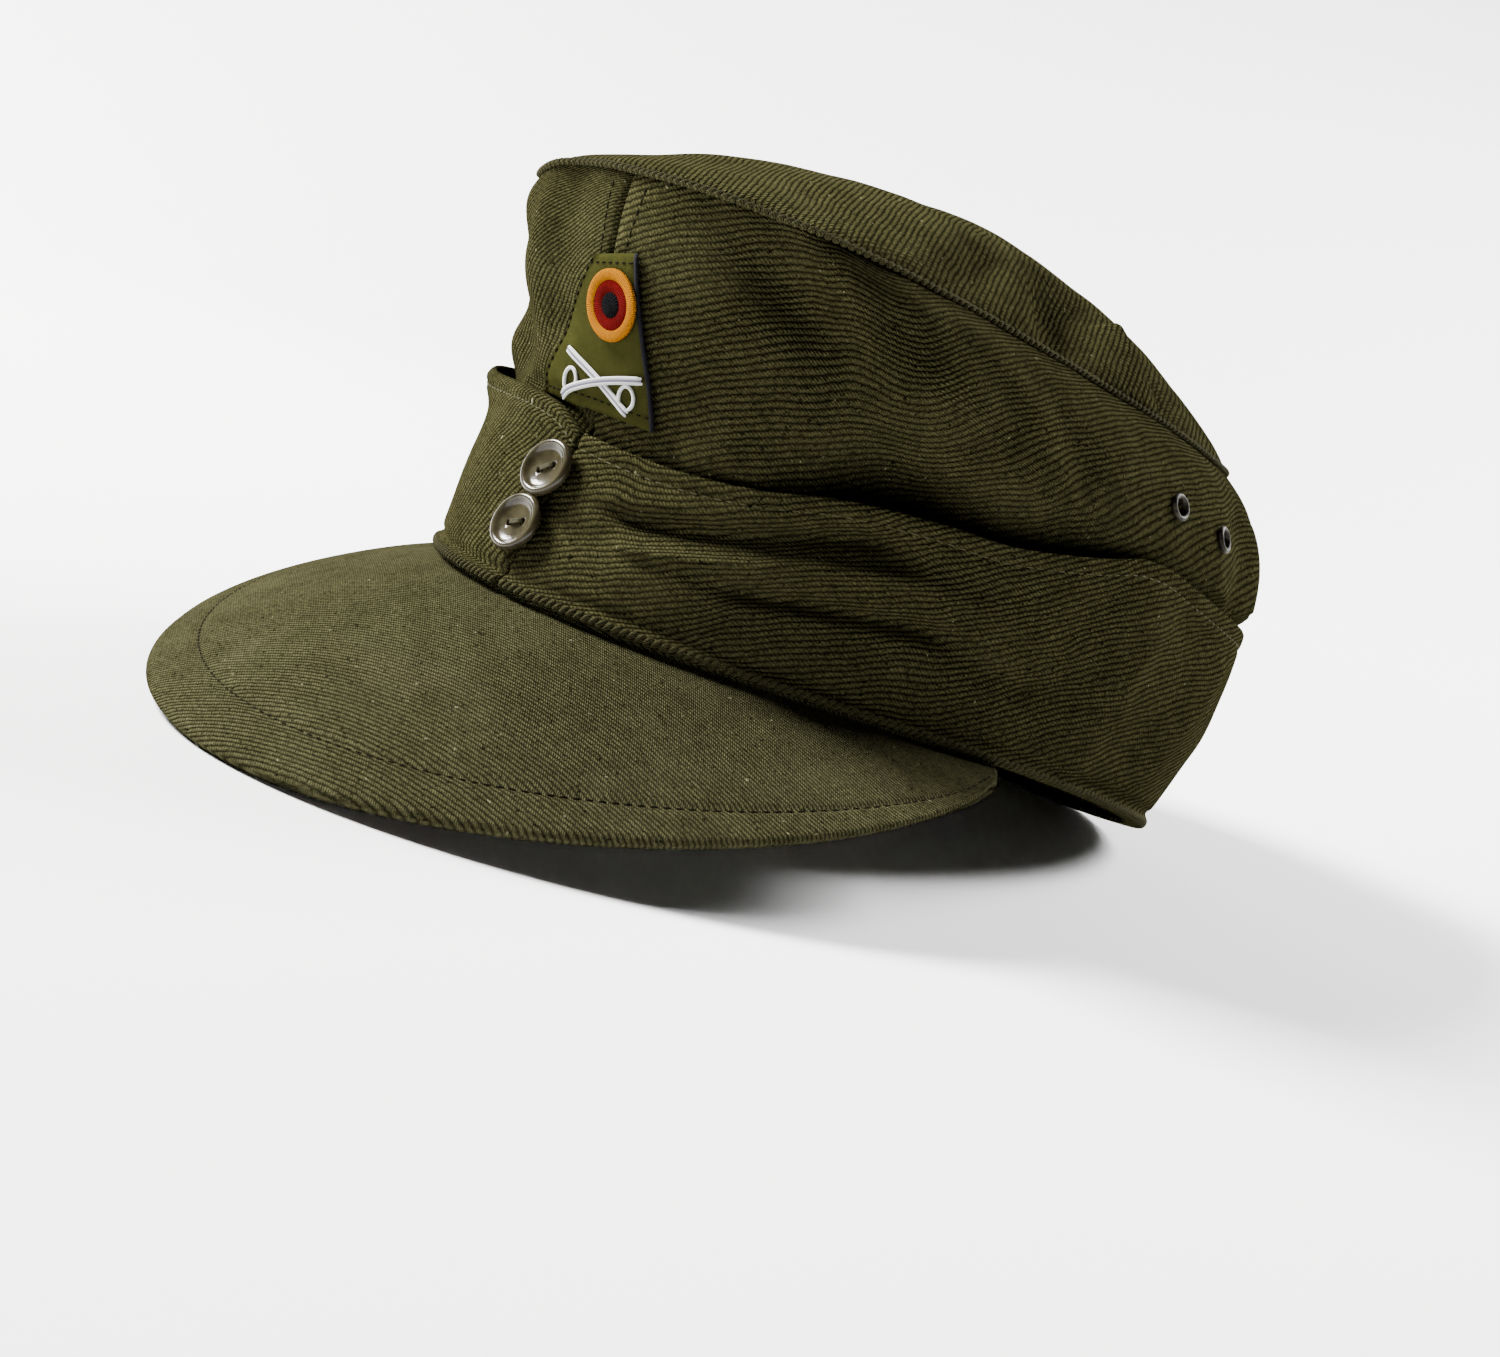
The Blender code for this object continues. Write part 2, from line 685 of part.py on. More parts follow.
def button(cap, name, z, roll):
    """A dished button with a raised rim and two holes, and the thread through them."""
    share = (z - rim_z(0)) / (flap_top_z(0) - rim_z(0))
    angle = -math.degrees(BUTTON_SIDE_OFFSET / (RIM_HALF_WIDTH * RIM_HALF_WIDTH / RIM_FRONT))
    point = flap_outside(angle, share)
    along = flap_outside(angle + 4, share) - flap_outside(angle - 4, share)
    up = flap_outside(angle, share + 0.1) - flap_outside(angle, share - 0.1)
    normal = along.cross(up).normalized()
    place = facing(point + normal * (GAP + BUTTON_STANDOFF), normal)
    place = place @ Matrix.Rotation(math.radians(roll), 4, "Z")
    half, tall = BUTTON_DIAMETER / 2, BUTTON_THICKNESS
    profile = [
        (0.0, 0.0),
        (0.62 * half, 0.0),
        (0.94 * half, 0.30 * tall),
        (half, 0.55 * tall),
        (0.96 * half, 0.85 * tall),
        (0.86 * half, tall),
        (0.74 * half, 0.88 * tall),
        (0.60 * half, 0.66 * tall),
        (0.0, 0.60 * tall),
    ]
    made = cap.keep(lathe("button_" + name, profile, TURNED_STEPS, place), "button")
    for side in (-1, 1):
        hole = drill(f"hole_{name}_{side}", place, BUTTON_HOLE, 2 * tall, side * BUTTON_HOLE_SPACING / 2)
        cap.cut(made, hole)
    high = 0.66 * tall + GAP + BUTTON_THREAD / 2
    half_run = BUTTON_HOLE_SPACING / 2
    run = [(-half_run, high - 0.28 * tall), (-0.8 * half_run, high), (0.8 * half_run, high)]
    run.append((half_run, high - 0.28 * tall))
    points = [place @ Vector((x, 0.0, height)) for x, height in run]
    thread = tube("button_thread_" + name, points, BUTTON_THREAD / 2)
    cap.keep(thread, "thread")


def eyelet(cap, wall, name, angle, z):
    """A metal ring through a round hole in the crown."""
    base = crown_base_z(angle)
    share = (z - base) / (crown_top_z(angle) - base)
    point = crown_outside(angle, share)
    along = crown_outside(angle + 3, share) - crown_outside(angle - 3, share)
    up = crown_outside(angle, share + 0.03) - crown_outside(angle, share - 0.03)
    normal = along.cross(up).normalized()
    place = facing(point, normal)
    hole = EYELET_HOLE / 2
    barrel = hole + EYELET_WALL
    lip = EYELET_DIAMETER / 2
    inside = -(CROWN_CLOTH + EYELET_SEAT)
    profile = [
        (hole, inside - 0.5 * EYELET_LIP),
        (0.80 * lip, inside - 0.5 * EYELET_LIP),
        (0.80 * lip, inside),
        (barrel, inside),
        (barrel, EYELET_SEAT),
        (lip, EYELET_SEAT),
        (0.88 * lip, EYELET_SEAT + 0.8 * EYELET_LIP),
        (hole + 0.25 * (lip - hole), EYELET_SEAT + EYELET_LIP),
    ]
    cap.keep(lathe("eyelet_" + name, profile, EYELET_STEPS, place), "metal")
    cap.cut(wall, drill("eyelet_hole_" + name, place, 2 * (barrel + GAP), 4 * CROWN_CLOTH))


def leaned(obj, tilt):
    """The distances along Y and Z of the object's evaluated points once the cap is leaned back."""
    evaluated = obj.evaluated_get(bpy.context.evaluated_depsgraph_get())
    mesh = evaluated.to_mesh()
    points = np.empty(len(mesh.vertices) * 3, np.float32)
    mesh.vertices.foreach_get("co", points)
    evaluated.to_mesh_clear()
    y, z = points[1::3], points[2::3]
    sine, cosine = math.sin(tilt), math.cos(tilt)
    return y * cosine + z * sine, z * cosine - y * sine


def stand(cap, front, backs, crowns):
    """Leans the cap back until the front piece and the back pieces are equally low, and rests it.

    The origin is below the middle of the whole cap.
    """
    bpy.context.view_layer.update()
    low, high = 0.0, math.radians(40)
    for _ in range(40):
        tilt = (low + high) / 2
        ahead = leaned(front, tilt)[1].min()
        behind = min(leaned(back, tilt)[1].min() for back in backs)
        low, high = (tilt, high) if ahead < behind else (low, tilt)
    foremost = leaned(front, tilt)[0].min()
    rearmost = max(leaned(crown, tilt)[0].max() for crown in crowns)
    cap.frame.rotation_euler = (-tilt, 0.0, 0.0)
    cap.frame.location = (0.0, -(foremost + rearmost) / 2, -ahead - REST_FLAT)
    bpy.context.view_layer.update()
    mesh = bpy.data.meshes.new("floor_cutter")
    bm = bmesh.new()
    deep = 4 * REST_FLAT
    below = Matrix.Translation((0, 0, -deep / 2)) @ Matrix.Diagonal((1, 1, deep, 1))
    bmesh.ops.create_cube(bm, size=1.0, matrix=below)
    bm.to_mesh(mesh)
    bm.free()
    cutter = bpy.data.objects.new("floor_cutter", mesh)
    cap.cut(front, cutter, rides=False)
    for back in backs:
        again = back.modifiers.new("cut_floor", "BOOLEAN")
        again.operation = "DIFFERENCE"
        again.solver = "EXACT"
        again.object = cutter


def main():
    cap = Cap()
    left = crown_side(cap, 1, "crown_left")
    right = crown_side(cap, -1, "crown_right")
    crown_top(cap)
    flaps = [flap(cap, 1, "flap_left"), flap(cap, -1, "flap_right")]
    front = peak(cap)
    patch(cap)
    cockade(cap)
    sabres(cap)
    button(cap, "upper", BUTTON_UPPER_Z, 35)
    button(cap, "lower", BUTTON_LOWER_Z, 20)
    eyelet(cap, left, "left_front", EYELET_FRONT_ANGLE, EYELET_FRONT_Z)
    eyelet(cap, left, "left_rear", EYELET_REAR_ANGLE, EYELET_REAR_Z)
    eyelet(cap, right, "right_front", -EYELET_FRONT_ANGLE, EYELET_FRONT_Z)
    eyelet(cap, right, "right_rear", -EYELET_REAR_ANGLE, EYELET_REAR_Z)
    stand(cap, front, flaps, (left, right))


main()
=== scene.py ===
"""The dressed field cap: sewn twill panels, stitching, front patch, buttons and eyelets, on a pale floor.

The cloth is laid out on the cap's rim plane, with the peak towards -Y and the wearer's left at +X,
and then leaned back as it rests. Angles run round the head in degrees from the front centre.
"""

import logging
import math
from collections.abc import Callable, Sequence
from dataclasses import dataclass
from enum import Enum
from functools import lru_cache, partial

import bmesh
import bpy
from mathutils import Matrix, Vector, noise


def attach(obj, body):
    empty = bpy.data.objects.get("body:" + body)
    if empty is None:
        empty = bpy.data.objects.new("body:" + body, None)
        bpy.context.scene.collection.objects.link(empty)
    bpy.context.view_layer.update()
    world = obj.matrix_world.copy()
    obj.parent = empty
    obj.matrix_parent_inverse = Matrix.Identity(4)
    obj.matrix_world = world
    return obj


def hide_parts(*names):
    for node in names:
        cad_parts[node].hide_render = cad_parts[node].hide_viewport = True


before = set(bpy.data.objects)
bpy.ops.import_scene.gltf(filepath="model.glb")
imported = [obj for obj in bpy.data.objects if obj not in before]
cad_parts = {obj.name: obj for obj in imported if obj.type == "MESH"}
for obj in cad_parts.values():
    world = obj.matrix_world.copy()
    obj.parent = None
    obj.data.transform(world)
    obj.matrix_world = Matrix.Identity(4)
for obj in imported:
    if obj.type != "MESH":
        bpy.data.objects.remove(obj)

LOG = logging.getLogger("field_cap")
MM = 0.001
# The cap leans back by LEAN degrees at rest, and REST_SHIFT then sets it on the floor.
LEAN = 11.4722
REST_SHIFT = Vector((0.0, 23.3345 * MM, 21.4175 * MM))
# Height that no point of the cap goes below.
FLOOR_GAP = 0.05 * MM
THREAD_SIDES = 8
THREAD_END = 0.55
BUTTON_SHARE = 0.443
BUTTON_PITCH = 13.5 * MM

Socket = bpy.types.NodeSocket
Surface = Callable[[float, float], Vector]
Triple = tuple[float, float, float]

CROWN_ROWS = (
    # height, front, back, side, front_square, back_square
    (0.00, 0.950, 0.950, 0.945, 2.00, 2.30),
    (0.21, 0.940, 0.985, 0.970, 2.05, 2.35),
    (0.40, 0.925, 1.030, 0.985, 2.10, 2.40),
    (0.52, 0.955, 1.055, 0.995, 2.10, 2.45),
    (0.65, 1.008, 1.060, 1.005, 2.20, 2.50),
    (0.76, 1.048, 1.038, 0.990, 2.45, 2.50),
    (0.86, 1.075, 0.975, 0.930, 2.65, 2.60),
    (0.95, 1.092, 0.900, 0.840, 3.00, 2.70),
    (1.00, 1.094, 0.860, 0.750, 3.20, 2.80),
)
CROWN_SAGS = (
    # angle, half_angle, drop
    (-30, 17, 0.050),
    (118, 22, 0.015),
    (-125, 30, 0.020),
)
FLAP_ROWS = (
    # height, front, back, side, front_square, back_square
    (0.00, 1.000, 1.000, 1.000, 2.00, 2.30),
    (0.30, 0.985, 1.040, 1.022, 2.03, 2.36),
    (0.55, 0.970, 1.068, 1.040, 2.08, 2.42),
    (0.80, 0.952, 1.064, 1.046, 2.14, 2.42),
    (1.00, 0.945, 1.048, 1.046, 2.15, 2.40),
)
FLAP_TOP_REAR = (
    # angle, height
    (76, 0.88), (84, 0.94), (91, 1.00), (100, 0.98),
    (112, 0.95), (127, 0.93), (150, 0.88), (180, 0.86),
)
FLAP_TOP_LEFT = (
    (0, 0.62), (8, 0.61), (20, 0.62), (30, 0.66), (43, 0.75), (56, 0.80), (68, 0.83),
    *FLAP_TOP_REAR,
)
FLAP_TOP_RIGHT = (
    (0, 0.62), (5, 0.68), (13, 0.71), (24, 0.72), (35, 0.73), (48, 0.77), (62, 0.81),
    *FLAP_TOP_REAR,
)
CROWN_FOLDS = (
    # angle_from, height_from, angle_to, height_to, half_angle, depth
    (26, 0.93, 52, 0.52, 8.0, 1.00),
    (36, 0.52, 76, 0.55, 9.0, 0.75),
    (74, 0.92, 80, 0.72, 4.0, 0.35),
    (113, 0.84, 116, 0.62, 4.0, 0.40),
    (-37, 0.78, -34, 0.60, 11.0, 0.95),
    (-50, 0.55, -80, 0.55, 9.0, -0.90),
    (-96, 0.88, -102, 0.66, 6.0, 0.35),
    (-140, 0.80, -150, 0.62, 7.0, 0.40),
    (152, 0.84, 160, 0.62, 7.0, 0.35),
    (12, 0.93, 36, 0.80, 6.5, 0.45),
    (26, 0.47, 57, 0.82, 6.0, -0.42),
    (44, 0.50, 62, 0.51, 4.5, 0.40),
    (56, 0.94, 84, 0.86, 6.0, -0.28),
    (68, 0.66, 76, 0.55, 5.0, -0.22),
    (-8, 0.95, -11, 0.64, 6.5, 0.50),
    (98, 0.80, 108, 0.62, 2.6, -0.16),
    (120, 0.86, 126, 0.60, 3.0, -0.20),
    (60, 0.96, 68, 0.80, 3.0, 0.14),
    (-20, 0.94, -26, 0.84, 3.0, 0.14),
)
FLAP_FOLDS = (
    # angle_from, height_from, angle_to, height_to, half_angle, depth
    (14, 0.50, 52, 0.82, 9.0, 0.28),
    (15, 0.66, 46, 0.84, 5.2, 0.72),
    (19, 0.50, 54, 0.70, 4.6, -0.46),
    (37, 0.44, 59, 0.50, 5.2, 0.66),
    (62, 0.50, 78, 0.36, 6.0, 0.26),
    (66, 0.70, 84, 0.56, 4.5, -0.20),
    (85, 0.80, 84, 0.15, 4.0, 0.16),
    (92, 0.92, 93, 0.10, 4.0, -0.24),
    (56, 0.12, 46, 0.10, 8.0, 0.16),
    (-44, 0.96, -64, 0.92, 12.0, -0.75),
    (-104, 0.80, -100, 0.30, 7.0, 0.22),
    (106, 0.85, 102, 0.25, 6.0, 0.25),
    (150, 0.75, 160, 0.35, 9.0, 0.25),
    (96, 0.86, 92, 0.40, 2.6, -0.10),
    (116, 0.80, 110, 0.20, 3.2, -0.14),
)
TOP_FOLDS = (
    # angle_from, share_from, angle_to, share_to, half_angle, depth
    (86, 0.60, 84, 1.00, 4.2, 1.35),
    (101, 0.66, 99, 1.00, 4.0, 1.20),
    (93, 0.74, 92, 0.97, 4.0, -0.75),
    (68, 0.68, 66, 0.98, 5.0, 0.45),
    (128, 0.70, 132, 0.98, 6.0, 0.26),
    (-60, 0.66, -58, 0.98, 6.0, 0.26),
    (-110, 0.66, -112, 0.98, 6.0, 0.30),
)
SABRES = (
    # tip_x, tip_z, hilt_x, hilt_z, guard_x, guard_z, in shares of a sabre's length
    (-0.50, 0.18, 0.35, -0.18, 0.32, -0.05),
    (0.48, 0.14, -0.50, -0.18, -0.41, -0.06),
)
BUTTON_PROFILE = (
    # radius, height, in shares of half the diameter and of the thickness
    (0.0, 0.0), (0.60, 0.0), (0.82, 0.10), (0.95, 0.32), (1.00, 0.58),
    (0.985, 0.78), (0.94, 0.93), (0.875, 1.00), (0.81, 0.965), (0.75, 0.86),
    (0.69, 0.745), (0.60, 0.665), (0.45, 0.615), (0.22, 0.60), (0.0, 0.60),
)


@lru_cache(maxsize=None)
def curve_of(table: tuple, column: int) -> tuple[list[float], list[float], list[float]]:
    """The places, values and slopes of one column of a table.

    Args:
        table: Rows whose first column is the place.
        column: The column to read.

    Returns:
        Places, values and slopes, one of each for every row.
    """
    places = [float(row[0]) for row in table]
    values = [float(row[column]) for row in table]
    slopes = []
    last = len(table) - 1
    for i in range(len(table)):
        low, high = max(i - 1, 0), min(i + 1, last)
        if low < i < high:
            before, after = places[i] - places[low], places[high] - places[i]
            rise = (values[high] - values[i]) / after * before + (values[i] - values[low]) / before * after
            slopes.append(rise / (before + after))
        else:
            slopes.append((values[high] - values[low]) / (places[high] - places[low]))
    return places, values, slopes


def between(table: tuple, column: int, at: float) -> float:
    """The column's value at a place, on a smooth curve through the rows.

    Args:
        table: Rows whose first column is the place.
        column: The column to read.
        at: The place, held inside the table.

    Returns:
        The value there.
    """
    places, values, slopes = curve_of(table, column)
    at = min(max(at, places[0]), places[-1])
    i = 0
    while i < len(places) - 2 and at > places[i + 1]:
        i += 1
    span = places[i + 1] - places[i]
    t = (at - places[i]) / span
    left = values[i] * (1 + 2 * t) * (1 - t) ** 2 + slopes[i] * span * t * (1 - t) ** 2
    right = values[i + 1] * t * t * (3 - 2 * t) - slopes[i + 1] * span * t * t * (1 - t)
    return left + right


@lru_cache(maxsize=4096)
def section(rows: tuple, share: float) -> tuple[float, ...]:
    """Front, back, side and the two squarenesses of a table of rows at a height share."""
    return tuple(between(rows, column, share) for column in range(1, 6))


def bump(away: float, half: float) -> float:
    """A soft hill of height 1 that fades over the half width."""
    return math.exp(-((away / half) ** 2))


def wrapped(angle: float) -> float:
    """The angle brought between -180 and 180 degrees."""
    return (angle + 180) % 360 - 180


def angle_at(side: int, u: float) -> float:
    """The angle round the head at a share of the left (1) or right (-1) half of the cap."""
    return side * 180 * (u if side > 0 else 1 - u)


def outward(point: Vector) -> Vector:
    """The level direction away from the head at a point."""
    return Vector((point.x, point.y, 0)).normalized()


def axes(x: Vector, y: Vector, z: Vector) -> Matrix:
    """The turn that has these three directions."""
    return Matrix((x, y, z)).transposed().to_4x4()


def along_ribs(x: float, y: float, degrees: float) -> Vector:
    """A place on flat cloth, measured along and across ribs that run at an angle."""
    turn = math.radians(degrees)
    return Vector((x * math.cos(turn) + y * math.sin(turn), y * math.cos(turn) - x * math.sin(turn)))


def normal_on(
    face: Callable[[float, float], Vector], angle: float, share: float, turn: float, rise: float
) -> tuple[Vector, Vector]:
    """The point and the outward normal of a face.

    Args:
        face: The face, by angle and height share.
        angle: The point's angle.
        share: The point's height share.
        turn: Degrees to both sides over which the normal is taken.
        rise: Height share up and down over which it is taken.

    Returns:
        The point and the normal.
    """
    along = face(angle + turn, share) - face(angle - turn, share)
    up = face(angle, share + rise) - face(angle, share - rise)
    return face(angle, share), along.cross(up).normalized()


@dataclass(frozen=True)
class CapForm:
    """The sewn shape of the cap, in metres on the rim plane.

    Attributes:
        rim_front: How far the rim reaches to the front, and so on for the other sizes of the rim.
        fold_depth: The depth of a fold whose table says 1.
    """

    rim_front: float = 102 * MM
    rim_back: float = 103 * MM
    rim_half_width: float = 84 * MM
    rim_front_drop: float = 1 * MM
    rim_back_drop: float = 2 * MM
    ear_rise: float = 5 * MM
    crown_height: float = 95 * MM
    top_rise: float = 27 * MM
    crown_cloth: float = 1.6 * MM
    flap_height: float = 61 * MM
    flap_cloth: float = 2.0 * MM
    flap_ease: float = 0.7 * MM
    fold_depth: float = 6 * MM
    gap: float = 0.35 * MM

    def rim_z(self, angle: float) -> float:
        """Height of the rim's lower edge round the head."""
        side = math.sin(math.radians(angle)) ** 2
        low = -self.rim_front_drop if math.cos(math.radians(angle)) > 0 else -self.rim_back_drop
        return low + (self.ear_rise - low) * side

    def flap_top_z(self, angle: float) -> float:
        """Height of the flap's upper edge round the head."""
        turn = wrapped(angle)
        return self.flap_height * between(FLAP_TOP_LEFT if turn >= 0 else FLAP_TOP_RIGHT, 1, abs(turn))

    def flap_tall(self, angle: float) -> float:
        """The flap's height from the rim to its upper edge."""
        return self.flap_top_z(angle) - self.rim_z(angle)

    def crown_top_z(self, angle: float) -> float:
        """Height of the crown's upper edge round the head."""
        sag = 0.0
        for middle, half_angle, drop in CROWN_SAGS:
            sag += drop * bump(wrapped(angle - middle), half_angle)
        return self.crown_height * (1 - sag)

    def crown_base_z(self, angle: float) -> float:
        """Height of the crown's lower edge, in the flap's roll."""
        return self.rim_z(angle) + self.flap_cloth + self.gap

    def folded(self, folds: tuple, angle: float, share: float) -> float:
        """Depth of all folds at a place, as a length.

        Args:
            folds: The table of folds.
            angle: Angle round the head.
            share: Height as a share of the panel.

        Returns:
            The depth, negative where the cloth stands out.
        """
        depth = 0.0
        for a0, h0, a1, h1, half_angle, deep in folds:
            run = Vector((a1 - a0, (h1 - h0) * 100))
            reach = Vector((wrapped(angle - a0), (share - h0) * 100))
            t = min(max(reach.dot(run) / run.length_squared, 0.0), 1.0)
            depth += deep * bump((reach - run * t).length, half_angle)
        return self.fold_depth * depth

    def oval(self, rows: tuple, angle: float, share: float) -> Vector:
        """The section's x and y at an angle, for a table of rows."""
        front, back, side, front_square, back_square = section(rows, share)
        s, c = math.sin(math.radians(angle)), math.cos(math.radians(angle))
        power = 2 / (front_square if c > 0 else back_square)
        x = self.rim_half_width * side * math.copysign(abs(s) ** power, s)
        reach = self.rim_front * front if c > 0 else self.rim_back * back
        return Vector((x, -reach * math.copysign(abs(c) ** power, c)))

    def flap_outside(self, angle: float, share: float) -> Vector:
        """A point of the flap's outer face, share 0 at the rim and 1 at its upper edge."""
        flat = self.oval(FLAP_ROWS, angle, share)
        flat *= 1 - self.folded(FLAP_FOLDS, angle, share) / flat.length
        return Vector((flat.x, flat.y, self.rim_z(angle) + share * self.flap_tall(angle)))

    def crown_outside(self, angle: float, share: float) -> Vector:
        """A point of the crown's outer face, tucked behind the flap where the flap covers it."""
        low = self.crown_base_z(angle)
        z = low + share * (self.crown_top_z(angle) - low)
        flat = self.oval(CROWN_ROWS, angle, share)
        flat *= 1 - self.folded(CROWN_FOLDS, angle, share) / flat.length
        cover = (z - self.rim_z(angle)) / self.flap_tall(angle)
        room = self.flap_outside(angle, min(cover, 1.0)).xy.length - self.flap_cloth - self.gap
        free = max(0.0, (z - self.flap_top_z(angle) - self.flap_cloth) / self.flap_height)
        limit = room - self.flap_ease + self.flap_height * 0.9 * free
        flat *= min(1.0, limit / flat.length)
        return Vector((flat.x, flat.y, z))

    def crown_at(self, angle: float, z: float) -> Vector:
        """The point of the crown's outer face at this angle and height."""
        base = self.crown_base_z(angle)
        return self.crown_outside(angle, (z - base) / (self.crown_top_z(angle) - base))

    def crown_spot(self, x: float, z: float) -> Vector:
        """The point of the crown's front at this x and height."""
        angle = math.degrees(x / self.rim_half_width)
        slope = math.radians(self.rim_half_width)
        point = self.crown_at(angle, z)
        for _ in range(4):
            step = (x - point.x) / slope
            if abs(step) < 0.001:
                break
            angle += step
            before, point = point, self.crown_at(angle, z)
            slope = (point.x - before.x) / step
        return point

    def crown_frame(self, x: float, z: float) -> tuple[Vector, Vector]:
        """The point and the outward normal of the crown's front at this x and height."""
        step = self.crown_cloth
        across = self.crown_spot(x + step, z) - self.crown_spot(x - step, z)
        up = self.crown_spot(x, z + step) - self.crown_spot(x, z - step)
        return self.crown_spot(x, z), across.cross(up).normalized()


FORM = CapForm()


def rested() -> Matrix:
    """The cap's frame as it rests: leaned back on the peak's edge and the back of the rim."""
    return Matrix.Translation(REST_SHIFT) @ Matrix.Rotation(math.radians(-LEAN), 4, "X")


class Shader:
    """A material's node tree, with short calls for the nodes that a finish needs."""

    def __init__(self, name: str) -> None:
        """Starts a material with one Principled shader."""
        self.material = bpy.data.materials.new(name)
        self.material.use_nodes = True
        self.tree = self.material.node_tree
        self.surface = self.tree.nodes["Principled BSDF"]
        self.place = self.node("ShaderNodeTexCoord").outputs["Object"]

    def node(self, kind: str, **settings: object) -> bpy.types.Node:
        """Adds a node and sets its own properties."""
        made = self.tree.nodes.new(kind)
        for key, value in settings.items():
            setattr(made, key, value)
        return made

    def feed(self, socket: Socket, value: object) -> None:
        """Links a socket into another, or sets its value."""
        if isinstance(value, bpy.types.NodeSocket):
            self.tree.links.new(value, socket)
        else:
            socket.default_value = value

    def sums(self, operation: str, *values: object, clamp: bool = False) -> Socket:
        """The result of one Math node."""
        made = self.node("ShaderNodeMath", operation=operation, use_clamp=clamp)
        for socket, value in zip(made.inputs, values):
            self.feed(socket, value)
        return made.outputs[0]

    def times(self, value: object, factor: object, plus: object = 0.0, clamp: bool = False) -> Socket:
        """The value times a factor, plus another value."""
        return self.sums("MULTIPLY_ADD", value, factor, plus, clamp=clamp)

    def mix(self, share: object, low: object, high: object) -> Socket:
        """Two colours mixed by a share."""
        made = self.node("ShaderNodeMix", data_type="RGBA")
        self.feed(made.inputs[0], share)
        for socket, value in ((made.inputs[6], low), (made.inputs[7], high)):
            self.feed(socket, value if isinstance(value, bpy.types.NodeSocket) else (*value, 1.0))
        return made.outputs[2]

    def cloudy(self, scale: float, detail: float = 2.0, rough: float = 0.5) -> Socket:
        """Soft noise from 0 to 1 over the piece."""
        made = self.node("ShaderNodeTexNoise", noise_dimensions="3D")
        values = {"Vector": self.place, "Scale": scale, "Detail": detail, "Roughness": rough}
        for key, value in values.items():
            self.feed(made.inputs[key], value)
        return made.outputs["Fac"]

    def weave(self) -> tuple[Socket, Socket]:
        """The two coordinates of the weave map, along and across the ribs or strands."""
        parts = self.node("ShaderNodeSeparateXYZ")
        self.feed(parts.inputs[0], self.node("ShaderNodeUVMap", uv_map="weave").outputs[0])
        return parts.outputs[0], parts.outputs[1]

    def ramp(self, value: Socket, low: float, high: float) -> Socket:
        """The value stretched so that low becomes 0 and high becomes 1."""
        made = self.node("ShaderNodeMapRange", interpolation_type="SMOOTHSTEP")
        for key, number in {"Value": value, "From Min": low, "From Max": high}.items():
            self.feed(made.inputs[key], number)
        return made.outputs["Result"]

    def wave(self, value: Socket) -> Socket:
        """A wave from 0 to 1 that has one crest for each whole number."""
        return self.times(self.sums("COSINE", self.times(value, 2 * math.pi)), 0.5, 0.5)

    def relief(self, height: Socket, distance: float) -> None:
        """Raises the surface's shading by a height map."""
        made = self.node("ShaderNodeBump")
        self.feed(made.inputs["Strength"], 1.0)
        self.feed(made.inputs["Distance"], distance)
        self.feed(made.inputs["Height"], height)
        self.feed(self.surface.inputs["Normal"], made.outputs["Normal"])

    def set(self, **values: object) -> None:
        """Sets or links inputs of the surface, named with underscores for spaces."""
        for key, value in values.items():
            self.feed(self.surface.inputs[key.replace("_", " ")], value)


@dataclass(frozen=True)
class Finish:
    """A procedural finish, painted by its own kind.

    Attributes:
        name: The material's name.
    """

    name: str

    def paint(self, s: Shader) -> None:
        """Paints the finish into a shader."""
        raise NotImplementedError

    def make(self) -> bpy.types.Material:
        """Builds the material."""
        s = Shader(self.name)
        self.paint(s)
        return s.material


@dataclass(frozen=True)
class TwillFinish(Finish):
    """Ribbed cotton twill, its ribs along the first coordinate of the weave map.

    Attributes:
        pitch: Distance from rib to rib.
        ridge: Colour on a rib.
        groove: Colour between ribs: painted shade in the grooves.
        depth: Height of the ribs in the shading.
        fuzz: How strong the worn, paler patches are.
    """

    pitch: float
    ridge: Triple
    groove: Triple
    depth: float
    fuzz: float

    def paint(self, s: Shader) -> None:
        """Paints the finish into a shader."""
        along, across = s.weave()
        sway = s.times(s.cloudy(70, 1), 1.1, -0.55)
        waver = s.times(s.cloudy(900, 3), 0.62, -0.31)
        rib = s.sums("ADD", s.times(across, 1 / self.pitch), s.sums("ADD", sway, waver))
        ridge = s.sums("POWER", s.wave(rib), 0.46)
        slant = s.sums("ADD", s.times(along, 1 / (0.62 * self.pitch)), rib)
        yarn = s.wave(slant)
        fibres = s.cloudy(3200, 3, 0.65)
        tuft = s.cloudy(1100, 2)
        body = s.times(ridge, s.times(yarn, 0.42, 0.58))
        rough = s.times(fibres, 0.55, s.times(tuft, 0.38))
        height = s.sums("ADD", body, rough)
        speck = s.times(s.ramp(tuft, 0.12, 0.70), s.ramp(fibres, 0.22, 0.62))
        # The tone follows the height of the ribs and yarn floats, so the hollows take the groove colour:
        # painted shade.
        tone = s.times(body, s.times(speck, 0.85, 0.25), clamp=True)
        colour = s.mix(tone, self.groove, self.ridge)
        worn = s.times(s.ramp(s.cloudy(34, 3), 0.42, 0.72), self.fuzz)
        colour = s.mix(worn, colour, tuple(min(1.0, 1.35 * part + 0.012) for part in self.ridge))
        shade = s.ramp(s.cloudy(150, 3), 0.30, 0.62)
        colour = s.mix(s.times(shade, -0.22, 0.22), colour, self.groove)
        fleck = s.ramp(s.cloudy(900, 1), 0.66, 0.74)
        colour = s.mix(s.times(fleck, 0.75), colour, tuple(0.35 * part for part in self.groove))
        lint = s.ramp(s.cloudy(700, 0), 0.85, 0.875)
        colour = s.mix(s.times(lint, 0.35), colour, (0.30, 0.29, 0.17))
        s.set(Base_Color=colour, Roughness=s.times(fibres, 0.2, 0.78), Specular_IOR_Level=0.0)
        s.relief(height, self.depth)


